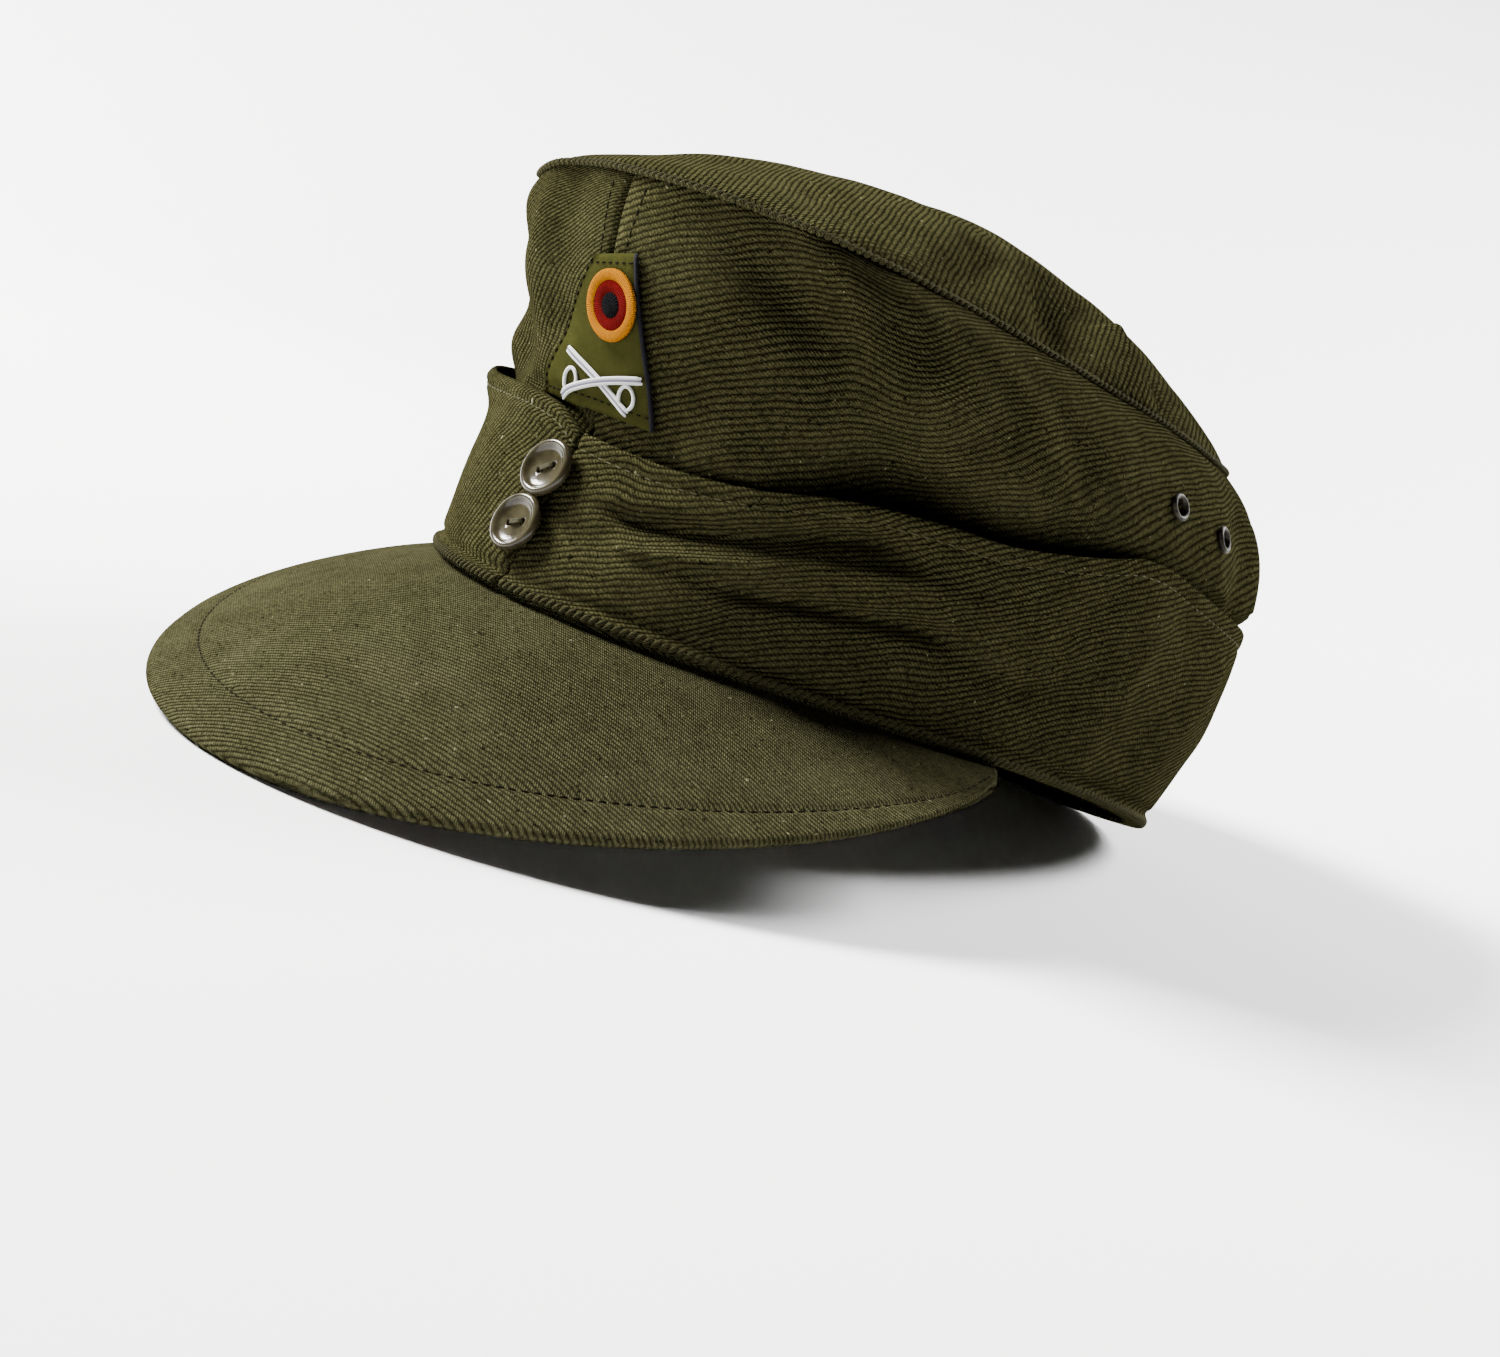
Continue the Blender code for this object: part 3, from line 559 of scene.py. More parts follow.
@dataclass(frozen=True)
class FeltFinish(Finish):
    """Dense felt with a short nap, and painted shade along one edge.

    Attributes:
        colour: The nap's colour.
        shadow: The colour between the fibres.
    """

    colour: Triple
    shadow: Triple

    def paint(self, s: Shader) -> None:
        """Paints the finish into a shader."""
        nap = s.cloudy(2600, 4, 0.7)
        cloud = s.cloudy(240, 3)
        # Painted shade: the felt darkens near the start of the weave map, the patch's stitched edge on the
        # wearer's right.
        edge = s.ramp(s.weave()[0], 1.0 * MM, 3.4 * MM)
        tone = s.times(nap, 0.7, s.times(cloud, 0.5), clamp=True)
        tone = s.times(tone, s.times(edge, 0.8, 0.2))
        s.set(Base_Color=s.mix(tone, self.shadow, self.colour), Roughness=0.95, Specular_IOR_Level=0.0)
        s.relief(nap, 0.22 * MM)


@dataclass(frozen=True)
class ThreadFinish(Finish):
    """Sewing or embroidery thread, its strands along the first coordinate of the weave map.

    Attributes:
        colour: The thread's colour.
        pitch: Distance from strand to strand.
        shine: How glossy the strands are, from 0 to 1.
        dark: Share of the colour that is left between strands, as painted shade in the hollows.
    """

    colour: Triple
    pitch: float
    shine: float
    dark: float = 0.45

    def paint(self, s: Shader) -> None:
        """Paints the finish into a shader."""
        _, across = s.weave()
        stray = s.times(s.cloudy(900, 2), 0.8, -0.4)
        strand = s.wave(s.sums("ADD", s.times(across, 1 / self.pitch), stray))
        fray = s.cloudy(4200, 2)
        height = s.times(fray, 0.35, strand)
        # Between strands the colour falls to the dark share: painted shade in the hollows. The fray adds
        # random darker fibres.
        tone = s.times(s.sums("POWER", strand, 0.5), s.ramp(fray, 0.1, 0.6), clamp=True)
        low = tuple(self.dark * part for part in self.colour)
        s.set(Base_Color=s.mix(tone, low, self.colour), Roughness=0.9 - 0.5 * self.shine)
        s.set(Specular_IOR_Level=0.03 + 0.6 * self.shine)
        s.relief(height, 0.5 * self.pitch)


@dataclass(frozen=True)
class PlasticFinish(Finish):
    """Glossy moulded button plastic with faint clouds and fine scratches."""

    colour: Triple
    cloud: Triple

    def paint(self, s: Shader) -> None:
        """Paints the finish into a shader."""
        swirl = s.ramp(s.cloudy(260, 4), 0.3, 0.7)
        scratch = s.cloudy(2400, 3, 0.7)
        s.set(Base_Color=s.mix(swirl, self.colour, self.cloud))
        s.set(Roughness=s.times(scratch, 0.12, 0.12))
        s.set(Coat_Weight=0.10, Coat_Roughness=0.05, Specular_IOR_Level=0.20)
        s.relief(s.times(swirl, 0.5, s.times(scratch, 0.3)), 0.05 * MM)


@dataclass(frozen=True)
class MetalFinish(Finish):
    """Lacquered eyelet metal, rubbed bare in places."""

    colour: Triple
    bare: Triple

    def paint(self, s: Shader) -> None:
        """Paints the finish into a shader."""
        rub = s.ramp(s.cloudy(900, 4), 0.45, 0.62)
        s.set(Base_Color=s.mix(rub, self.colour, self.bare), Metallic=0.7, Specular_IOR_Level=0.2)
        s.set(Roughness=s.times(s.cloudy(2000, 2), 0.3, 0.42))
        s.relief(s.cloudy(1400, 3), 0.06 * MM)


@dataclass(frozen=True)
class FloorFinish(Finish):
    """Pale matt studio paper."""

    colour: Triple = (0.95, 0.95, 0.95)

    def paint(self, s: Shader) -> None:
        """Paints the finish into a shader."""
        low = tuple(0.985 * part for part in self.colour)
        s.set(Base_Color=s.mix(s.cloudy(3, 2), low, self.colour), Roughness=0.9)


class Cloth(Enum):
    """The finishes of the cap's own cloths, threads and fittings."""

    # The second colour of each twill is painted shade for the grooves between its ribs.
    TWILL = TwillFinish(
        "olive_twill", 1.5 * MM, (0.068, 0.0652, 0.0268), (0.0034, 0.0031, 0.0013), 0.78 * MM, 0.07
    )
    FINE_TWILL = TwillFinish(
        "fine_olive_twill", 1.0 * MM, (0.082, 0.0800, 0.0385), (0.0064, 0.0060, 0.0027), 0.46 * MM, 0.08
    )
    FELT = FeltFinish("olive_felt", (0.037, 0.0375, 0.0100), (0.008, 0.0082, 0.0025))
    GOLD = ThreadFinish("gold_embroidery", (0.34, 0.120, 0.0), 0.42 * MM, 0.0, 0.50)
    RED = ThreadFinish("red_embroidery", (0.095, 0.0, 0.0), 0.42 * MM, 0.0, 0.45)
    BLACK = ThreadFinish("black_embroidery", (0.0012, 0.0012, 0.002), 0.42 * MM, 0.0, 0.5)
    WHITE = ThreadFinish("white_embroidery", (0.94, 0.94, 0.93), 0.35 * MM, 0.2, 0.85)
    LILAC = ThreadFinish("grey_embroidery", (0.26, 0.24, 0.34), 0.35 * MM, 0.2, 0.7)
    OLIVE_THREAD = ThreadFinish("olive_thread", (0.075, 0.070, 0.030), 0.30 * MM, 0.2)
    DARK_THREAD = ThreadFinish("dark_thread", (0.0120, 0.0105, 0.0052), 0.30 * MM, 0.0)
    SEAM_CORD = ThreadFinish("olive_seam_cord", (0.057, 0.0545, 0.0235), 0.55 * MM, 0.0, 0.22)
    INK_THREAD = ThreadFinish("ink_thread", (0.010, 0.010, 0.014), 0.28 * MM, 0.15)
    BUTTON = PlasticFinish("olive_brown_plastic", (0.020, 0.0165, 0.0080), (0.038, 0.0335, 0.0180))
    EYELET = MetalFinish("dull_lacquered_metal", (0.014, 0.012, 0.009), (0.042, 0.037, 0.028))

    def made(self) -> bpy.types.Material:
        """The material, built once."""
        return bpy.data.materials.get(self.value.name) or self.value.make()


def linked(name: str, data: bpy.types.ID) -> bpy.types.Object:
    """A new object of the scene with this data."""
    made = bpy.data.objects.new(name, data)
    bpy.context.scene.collection.objects.link(made)
    return made


def meshed(name: str, bm: bmesh.types.BMesh) -> bpy.types.Object:
    """A new object of the scene with this mesh, which is freed."""
    mesh = bpy.data.meshes.new(name)
    bm.to_mesh(mesh)
    bm.free()
    return linked(name, mesh)


def settle(
    name: str, bm: bmesh.types.BMesh, cloth: Cloth, slot: str, nodes: Sequence[str] = ()
) -> bpy.types.Object:
    """Turns a finished mesh into a piece of the cap, at rest on the floor, riding on the cap.

    Where the cloth reaches the floor it is pressed flat.

    Args:
        name: The piece's name.
        bm: The mesh on the rim plane. It is freed.
        cloth: Its finish.
        slot: The record's material slot. It is not used.
        nodes: The solids that the piece stands for.

    Returns:
        The piece.
    """
    bm.transform(rested())
    for vert in bm.verts:
        vert.co.z = max(vert.co.z, FLOOR_GAP)
    piece = meshed(name, bm)
    piece.data.shade_smooth()
    piece.data.materials.append(cloth.made())
    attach(piece, "root")
    if nodes:
        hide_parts(*nodes)
    LOG.info("%s: %d faces", name, len(piece.data.polygons))
    return piece


@dataclass
class ClothPanel:
    """A cut of cloth: a grid laid on a surface, with the run of its ribs in the weave map.

    Attributes:
        node: The solid that it stands for.
        columns: Faces round the cap.
        rows: Faces up the panel.
        surface: The place of a point, its two shares from 0 to 1.
        rib_angle: Degrees from the panel's first direction to its ribs.
        plan: The place on the cloth for a point, where it isn't measured along the grid.
    """

    node: str
    columns: int
    rows: int
    surface: Surface
    rib_angle: float = 0.0
    plan: Callable[[Vector], Vector] | None = None

    def grid(self) -> bmesh.types.BMesh:
        """Lays the grid on its surface and writes the weave map.

        Returns:
            The mesh, on the rim plane.
        """
        bm = bmesh.new()
        bmesh.ops.create_grid(bm, x_segments=self.columns, y_segments=self.rows, size=0.5)
        cells: dict[bmesh.types.BMVert, tuple[int, int]] = {}
        points: dict[tuple[int, int], Vector] = {}
        for vert in bm.verts:
            i = round((vert.co.x + 0.5) * self.columns)
            j = round((vert.co.y + 0.5) * self.rows)
            cells[vert] = (i, j)
            vert.co = self.surface(i / self.columns, j / self.rows)
            points[(i, j)] = vert.co.copy()
        planned = {key: self.plan(point) for key, point in points.items()} if self.plan else None
        weave = planned or self.measured(points)
        layer = bm.loops.layers.uv.new("weave")
        for face in bm.faces:
            for loop in face.loops:
                loop[layer].uv = weave[cells[loop.vert]]
        return bm

    def measured(self, points: dict[tuple[int, int], Vector]) -> dict[tuple[int, int], Vector]:
        """Measures the cloth along and up the panel, and turns it to the run of the ribs.

        Args:
            points: The grid's points by column and row.

        Returns:
            Distance along and across the ribs for each point.
        """
        middle = self.rows // 2
        along = {(0, j): 0.0 for j in range(self.rows + 1)}
        up = {(i, middle): 0.0 for i in range(self.columns + 1)}
        for j in range(self.rows + 1):
            for i in range(1, self.columns + 1):
                along[(i, j)] = along[(i - 1, j)] + (points[(i, j)] - points[(i - 1, j)]).length
        for i in range(self.columns + 1):
            for j in range(middle + 1, self.rows + 1):
                up[(i, j)] = up[(i, j - 1)] + (points[(i, j)] - points[(i, j - 1)]).length
            for j in range(middle - 1, -1, -1):
                up[(i, j)] = up[(i, j + 1)] - (points[(i, j)] - points[(i, j + 1)]).length
        return {key: along_ribs(along[key], up[key], self.rib_angle) for key in points}

    def build(self, cloth: Cloth, slot: str, wall: float) -> None:
        """Builds the panel as a piece of the cap, thickened inwards.

        Args:
            cloth: Its finish.
            slot: The record's material slot.
            wall: Its thickness.
        """
        piece = settle(f"{self.node}_{slot}", self.grid(), cloth, slot, [self.node])
        made = piece.modifiers.new("cloth", "SOLIDIFY")
        made.thickness = wall
        made.offset = -1.0
        made.use_even_offset = False
        made.use_rim = True


@dataclass
class SeamLine:
    """A row of stitches along a line on the cloth.

    Attributes:
        points: Places along the line, evenly or not.
        normals: The cloth's outward normal at each place.
        pitch: Distance from stitch to stitch.
        length: Length of a stitch.
        radius: Radius of the thread.
        slant: Degrees that a stitch is turned from the line.
    """

    points: list[Vector]
    normals: list[Vector]
    pitch: float
    length: float
    radius: float = 0.24 * MM
    slant: float = 0.0

    def sew(self, bm: bmesh.types.BMesh) -> None:
        """Adds the stitches to a mesh.

        Args:
            bm: The mesh that takes them.
        """
        gone = 0.0
        wanted = self.pitch / 2
        for (first, second), normal in zip(zip(self.points, self.points[1:]), self.normals):
            run = second - first
            turn = Matrix.Rotation(math.radians(self.slant), 3, normal)
            while run.length > 0 and wanted <= gone + run.length:
                middle = first + run * ((wanted - gone) / run.length)
                self.stitch(bm, middle, turn @ run.normalized(), normal)
                wanted += self.pitch
            gone += run.length

    def stitch(self, bm: bmesh.types.BMesh, middle: Vector, along: Vector, out: Vector) -> None:
        """Adds one stitch: a short plump bar of thread that sinks in at its ends."""
        layer = weave_of(bm)
        side = out.cross(along).normalized()
        place = Matrix.Translation(middle) @ axes(along, side, along.cross(side))
        shape = Matrix.Diagonal((self.length / 2, self.radius, self.radius * 1.1, 1))
        made = bmesh.ops.create_uvsphere(bm, u_segments=6, v_segments=6, radius=1.0, matrix=place @ shape)
        for vert in made["verts"]:
            for loop in vert.link_loops:
                loop[layer].uv = ((vert.co - middle).dot(along), (vert.co - middle).dot(side + along))


def weave_of(bm: bmesh.types.BMesh) -> bmesh.types.BMLayerItem:
    """The mesh's weave map, made where it isn't there yet."""
    return bm.loops.layers.uv.get("weave") or bm.loops.layers.uv.new("weave")


def sewn(name: str, seams: Sequence[SeamLine], cloth: Cloth, slot: str) -> None:
    """Builds a piece from rows of stitches.

    Args:
        name: The piece's name.
        seams: The rows.
        cloth: Their finish.
        slot: The record's material slot.
    """
    bm = bmesh.new()
    for seam in seams:
        seam.sew(bm)
    settle(name, bm, cloth, slot)


def lathe(bm: bmesh.types.BMesh, profile: Sequence[tuple[float, float]], steps: int) -> None:
    """Spins a closed or axis-to-axis profile round the Z axis, in a mesh that is still empty.

    Args:
        bm: The mesh that takes the solid.
        profile: Radius and height of its points, in order.
        steps: Faces round.
    """
    verts = [bm.verts.new((radius, 0.0, height)) for radius, height in profile]
    edges = [bm.edges.new(pair) for pair in zip(verts, verts[1:])]
    if profile[0][0] > 0:
        edges.append(bm.edges.new((verts[-1], verts[0])))
    turn = {"cent": (0, 0, 0), "axis": (0, 0, 1), "angle": 2 * math.pi, "steps": steps, "use_merge": True}
    bmesh.ops.spin(bm, geom=verts + edges, **turn)
    bmesh.ops.remove_doubles(bm, verts=bm.verts, dist=1e-7)
    bmesh.ops.recalc_face_normals(bm, faces=bm.faces)


def facing(point: Vector, normal: Vector) -> Matrix:
    """A place at the point, with its Z along the normal and its Y as near to upright as it can be."""
    z = normal.normalized()
    x = Vector((0, 0, 1)).cross(z).normalized()
    return Matrix.Translation(point) @ axes(x, z.cross(x), z)


def tube(bm: bmesh.types.BMesh, points: Sequence[Vector], radius: float) -> None:
    """Adds a round thread through the points, with the weave map along it.

    Args:
        bm: The mesh that takes it.
        points: Places along the thread.
        radius: Its radius, smaller at the two ends.
    """
    layer = weave_of(bm)
    last = len(points) - 1
    rings = []
    gone = 0.0
    lift = None
    for i, point in enumerate(points):
        along = (points[min(i + 1, last)] - points[max(i - 1, 0)]).normalized()
        lift = along.orthogonal() if lift is None else (lift - along * lift.dot(along)).normalized()
        place = Matrix.Translation(point) @ axes(along.cross(lift), lift, along)
        end = i in (0, last)
        size = radius * (THREAD_END if end else 1.0)
        made = bmesh.ops.create_circle(bm, cap_ends=end, segments=THREAD_SIDES, radius=size, matrix=place)
        gone += (point - points[max(i - 1, 0)]).length
        rings.append((made["verts"], gone))
    for (low, low_at), (high, high_at) in zip(rings, rings[1:]):
        edges = {edge for vert in low + high for edge in vert.link_edges}
        around = [e for e in edges if all(v in low for v in e.verts) or all(v in high for v in e.verts)]
        for face in bmesh.ops.bridge_loops(bm, edges=around)["faces"]:
            for loop in face.loops:
                ring, at = (low, low_at) if loop.vert in low else (high, high_at)
                loop[layer].uv = (at, at + radius * ring.index(loop.vert))
    faces = {face for ring, _ in rings for vert in ring for face in vert.link_faces}
    bmesh.ops.recalc_face_normals(bm, faces=list(faces))


@dataclass
class Crown:
    """The two crown sides and the domed top, with their seams.

    Attributes:
        columns: Faces round each side.
        rows: Faces up each side.
        top_faces: Faces across the top.
        seam_half: Half the width of the seam's valley.
        brink: Share of the top beyond which its edge rolls down to the seam.
        rib_left: Run of the ribs on the wearer's left, in degrees.
        rib_right: Run of the ribs on the wearer's right.
        rib_top: Run of the ribs on the top, from +X.
        stitch_away: Distance of the stitches from the centre seams.
    """

    columns: int = 210
    rows: int = 70
    top_faces: int = 120
    seam_half: float = 1.3 * MM
    brink: float = 0.925
    rib_left: float = 24.0
    rib_right: float = 48.0
    rib_top: float = 130.0
    stitch_away: float = 1.968 * MM

    def side_point(self, side: int, u: float, v: float) -> Vector:
        """A point of one side's outer face, with the centre seam's valley and soft ripples.

        Args:
            side: 1 for the wearer's left, -1 for the right.
            u: Share round the side.
            v: Share up the side.

        Returns:
            The point.
        """
        point = FORM.crown_outside(angle_at(side, u), v)
        ripple = noise.noise(point * 42) * 0.7 + noise.noise(point * 110) * 0.28
        seam = bump(point.x, 0.7 * self.seam_half) * 0.30 - bump(abs(point.x) - 1.9 * MM, 1.4 * MM) * 0.35
        point -= outward(point) * (seam + max(0.0, 0.5 - ripple) * 0.8 * min(1.0, 12 * v)) * MM
        if u in (0.0, 1.0):
            point.x = side * 0.06 * MM
        return point

    def top_point(self, x: float, y: float) -> Vector:
        """A point of the domed top, from a place on the unit disc."""
        share = min(1.0, math.hypot(x, y))
        angle = math.degrees(math.atan2(x, -y))
        edge = FORM.crown_outside(angle, 1.0)
        summit = Vector((0.0, 0.03 * FORM.rim_back, 0.0))
        flat = Vector((edge.x, edge.y, 0.0)).lerp(summit, 1 - share)
        seat = FORM.crown_height + (edge.z - FORM.crown_height) * share**2
        rise = FORM.top_rise * (1 - share**2.05)
        point = Vector((flat.x, flat.y, seat + 0.3 * MM + FORM.crown_cloth + rise))
        point.z -= FORM.folded(TOP_FOLDS, angle, share) * min(1.0, 4 * (1.0 - 0.9 * share))
        ripple = noise.noise(point * 38) * 1.3 + noise.noise(point * 95) * 0.3
        point.z += (ripple - 0.4) * MM * (1 - share**6)
        near = max(0.0, share - self.brink) / (1 - self.brink)
        point.z -= 1.05 * FORM.crown_cloth * (1 - math.sqrt(1 - near * near))
        return point

    def top_surface(self, u: float, v: float) -> Vector:
        """A point of the top, from a square that is drawn out to a disc."""
        a, b = 2 * u - 1, 2 * v - 1
        return self.top_point(a * math.sqrt(1 - b * b / 2), b * math.sqrt(1 - a * a / 2))

    def top_plan(self, point: Vector) -> Vector:
        """The place on the top's cloth for a point of the dome."""
        along, across = along_ribs(point.x, point.y, self.rib_top)
        return Vector((along * (0.5 + 0.5 * point.z / FORM.crown_height), across * 1.12))

    def build_welt(self) -> None:
        """Builds the rolled seam that joins the top to the sides."""
        edges = [FORM.crown_outside(i - 180, 1.0) for i in range(361)]
        points = [edge + outward(edge) * 0.15 * MM + Vector((0, 0, 0.30 * MM)) for edge in edges]
        normals = [(outward(edge) + Vector((0, 0, 0.8))).normalized() for edge in edges]
        roll = SeamLine(points, normals, 1.85 * MM, 2.9 * MM, 0.74 * MM, 38.0)
        sewn("top_seam_roll", [roll], Cloth.SEAM_CORD, "cloth")

    def build_stitches(self) -> None:
        """Builds the rows of stitches on both sides of the front and back seams."""
        away = math.degrees(self.stitch_away / FORM.rim_half_width) / 180
        seams = []
        for u, out in ((away, Vector((0, -1, 0))), (1 - away, Vector((0, 1, 0)))):
            for side in (-1, 1):
                shares = [0.44 + 0.54 * i / 39 for i in range(40)]
                points = [self.side_point(side, u if side > 0 else 1 - u, share) for share in shares]
                seams.append(SeamLine(points, [out] * len(points), 2.4 * MM, 1.9 * MM))
        sewn("centre_seam_stitches", seams, Cloth.DARK_THREAD, "sewing_thread")

    def build(self) -> None:
        """Builds the whole crown."""
        for side, node, ribs in ((1, "crown_left", self.rib_left), (-1, "crown_right", self.rib_right)):
            panel = ClothPanel(node, self.columns, self.rows, partial(self.side_point, side), ribs)
            panel.build(Cloth.TWILL, "cloth", FORM.crown_cloth)
        top = ClothPanel("top_panel", self.top_faces, self.top_faces, self.top_surface, plan=self.top_plan)
        top.build(Cloth.TWILL, "cloth", FORM.crown_cloth)
        self.build_welt()
        self.build_stitches()


@dataclass
class EarFlap:
    """One half of the turned-up flap, from its rolled lower edge to its hemmed upper edge.

    Attributes:
        side: 1 for the wearer's left, -1 for the right.
        node: The solid that it stands for.
        ribs: Run of the ribs, in degrees.
        columns: Faces round.
        rows: Faces from the roll to the hem.
        hem: Distance of the topstitching from the upper edge.
        roll: Height of the rolled lower edge.
        roll_share: Share of the panel that lies under the roll.
        hem_share: Share of the panel where it turns over the hem.
    """

    side: int
    node: str
    ribs: float
    columns: int = 210
    rows: int = 64
    hem: float = 3.2 * MM
    roll: float = 3.6 * MM
    roll_share: float = 0.08
    hem_share: float = 0.95

    def face(self, u: float, height: float) -> Vector:
        """A point of the outer face at a height share, with roll, hem and soft ripples."""
        angle = angle_at(self.side, u)
        point = FORM.flap_outside(angle, height)
        tall = FORM.flap_tall(angle)
        above, below = height * tall, (1 - height) * tall
        ripple = noise.noise(point * 40) * 0.8 + noise.noise(point * 120) * 0.25
        away = 0.85 * bump(above - 0.45 * self.roll, 0.45 * self.roll)
        away -= 0.90 * bump(above - 1.15 * self.roll, 0.28 * self.roll)
        away -= 0.45 * bump(below - self.hem, 0.8 * MM)
        away += 0.15 * bump(below - 0.4 * self.hem, 1.2 * MM)
        away -= 0.5 * bump(point.x, 1.2 * MM)
        away -= max(0.0, 0.5 - ripple) * 0.7
        return point + outward(point) * away * MM

    def surface(self, u: float, v: float) -> Vector:
        """A point of the panel: under the roll, up the outer face and over the hem."""
        wall = FORM.flap_cloth
        if v < self.roll_share:
            low = self.face(u, 0.0)
            t = 1 - v / self.roll_share
            lift = 0.55 * wall * (1 - math.sqrt(1 - (1 - t) ** 2))
            point = low - outward(low) * 2.3 * wall * t + Vector((0, 0, lift))
        elif v > self.hem_share:
            high = self.face(u, 1.0)
            turn = (v - self.hem_share) / (1 - self.hem_share) * math.pi
            reach = 0.4 * wall * (1 - math.cos(turn))
            point = high - outward(high) * reach + Vector((0, 0, 0.35 * wall * math.sin(turn)))
        else:
            height = (v - self.roll_share) / (self.hem_share - self.roll_share)
            point = self.face(u, height)
            if height < 0.05:
                point.z += 0.55 * wall * (1 - height / 0.05) ** 2
        if u in (0.0, 1.0):
            point.x = self.side * 0.05 * MM
        return point

    def level(
        self, steps: int, end: float, share_of: Callable[[float], float], sink: float = 0.0
    ) -> tuple[list[Vector], list[Vector]]:
        """A line along the outer face.

        Args:
            steps: Steps along the line.
            end: Share of the flap left free at both ends.
            share_of: The line's height share, from the flap's height at a place.
            sink: How deep the line lies in the cloth.

        Returns:
            The line's points and normals.
        """
        points, normals = [], []
        for i in range(steps + 1):
            u = end + (1 - 2 * end) * i / steps
            point = self.face(u, share_of(FORM.flap_tall(angle_at(self.side, u))))
            normals.append(outward(point))
            points.append(point - normals[-1] * sink)
        return points, normals

    def build(self) -> None:
        """Builds the panel, its topstitching and its rolled edge."""
        panel = ClothPanel(self.node, self.columns, self.rows, self.surface, self.ribs)
        panel.build(Cloth.TWILL, "cloth", 0.55 * FORM.flap_cloth)
        hem = self.level(240, 0.004, lambda tall: 1 - self.hem / tall)
        stitches = SeamLine(*hem, 2.9 * MM, 2.1 * MM, 0.22 * MM)
        sewn(self.node + "_topstitch", [stitches], Cloth.OLIVE_THREAD, "sewing_thread")
        roll = self.level(180, 0.002, lambda tall: 0.42 * self.roll / tall, 0.45 * MM)
        cord = SeamLine(*roll, 1.9 * MM, 3.4 * MM, 0.72 * MM, 44.0)
        sewn(self.node + "_rolled_edge", [cord], Cloth.SEAM_CORD, "cloth")


@dataclass
class Peak:
    """The stiff peak: two faces of fine twill over a board, with a row of stitches inside its edge.

    Attributes:
        reach: How far it stands out.
        drop: How far it falls.
        board: Its thickness.
        end_angle: Where its corners meet the rim.
        tuck: How far it goes under the flap.
        camber: How much it bows upwards.
        ribs: Run of the ribs in plan, from +X.
        inset: Distance of the stitching from the edge.
        flange: Share of the panel that stands up behind the flap.
        columns: Faces round.
        rows: Faces from the edge to the flap.
    """

    reach: float = 57 * MM
    drop: float = 50.5 * MM
    board: float = 3.4 * MM
    end_angle: float = 82.0
    tuck: float = 3.0 * MM
    camber: float = 4.5 * MM
    ribs: float = 19.0
    inset: float = 9.0 * MM
    flange: float = 0.04
    columns: int = 200
    rows: int = 60

    def fade(self, turn: float) -> float:
        """How full the peak is at a place along its seam, from nearly 0 at its corners to 1."""
        return max(math.cos(math.pi / 2 * turn), 0.012)

    def depth(self, turn: float) -> float:
        """Distance from the peak's root to its edge."""
        return self.tuck + self.reach * self.fade(turn) ** 0.22

    def stitched(self, turn: float) -> float:
        """The share at which the row of stitches lies."""
        return 1 - self.inset / self.depth(turn)

    def point(self, turn: float, share: float) -> Vector:
        """A point of the upper face: turn from -1 to 1 along the seam, share 0 at the seam."""
        angle = turn * self.end_angle
        fade, depth = self.fade(turn), self.depth(turn)
        rim = FORM.oval(FLAP_ROWS, angle, 0.0)
        heading = math.radians(0.5 * angle)
        edge = Vector((math.sin(heading), -math.cos(heading))) * depth
        flat = rim * (1 - self.tuck / rim.length) + edge * share
        base = FORM.rim_z(angle) - FORM.gap
        fall = self.drop * fade**0.7 * share**1.06
        bow = self.camber * math.sin(math.pi * share) * fade**0.5
        dimple = 0.55 * MM * bump((share - self.stitched(turn)) * depth, 0.9 * MM) if fade > 0.05 else 0.0
        soft = noise.noise(Vector((flat.x, flat.y, 0)) * 30) * 0.5 * MM * math.sin(math.pi * share)
        return Vector((flat.x, flat.y, base - fall + bow - dimple + soft))

    def surface(self, u: float, v: float) -> Vector:
        """A point of the upper face by the panel's shares, rounded down at the edge."""
        turn = math.sin(math.pi / 2 * (2 * u - 1))
        cut = 1 - self.flange
        share = 1 - min(v / cut, 1.0)
        point = self.point(turn, share)
        if v > cut:
            point.z += 2.2 * MM * (v - cut) / self.flange
        near = min(1.0, (1 - share) / 0.04)
        point.z -= 0.25 * self.board * (1 - math.sqrt(max(0.0, 1 - (1 - near) ** 2)))
        return point

    def plan(self, point: Vector) -> Vector:
        """The place on the peak's cloth for a point."""
        return along_ribs(point.x, point.y * 1.30, self.ribs)

    def build(self) -> None:
        """Builds the peak and its stitches."""
        panel = ClothPanel("peak", self.columns, self.rows, self.surface, plan=self.plan)
        panel.build(Cloth.FINE_TWILL, "cloth", 0.62 * self.board)
        points, normals = [], []
        for i in range(241):
            turn = math.sin(math.pi / 2 * (2 * i / 240 - 1)) * 0.985
            share = self.stitched(turn)
            across = self.point(min(turn + 0.01, 1), share) - self.point(max(turn - 0.01, -1), share)
            down = self.point(turn, share + 0.02) - self.point(turn, share - 0.02)
            normals.append(down.cross(across).normalized())
            points.append(self.point(turn, share) + normals[-1] * 0.02 * MM)
        stitches = SeamLine(points, normals, 2.6 * MM, 1.9 * MM, 0.27 * MM)
        sewn("peak_topstitch", [stitches], Cloth.DARK_THREAD, "sewing_thread")


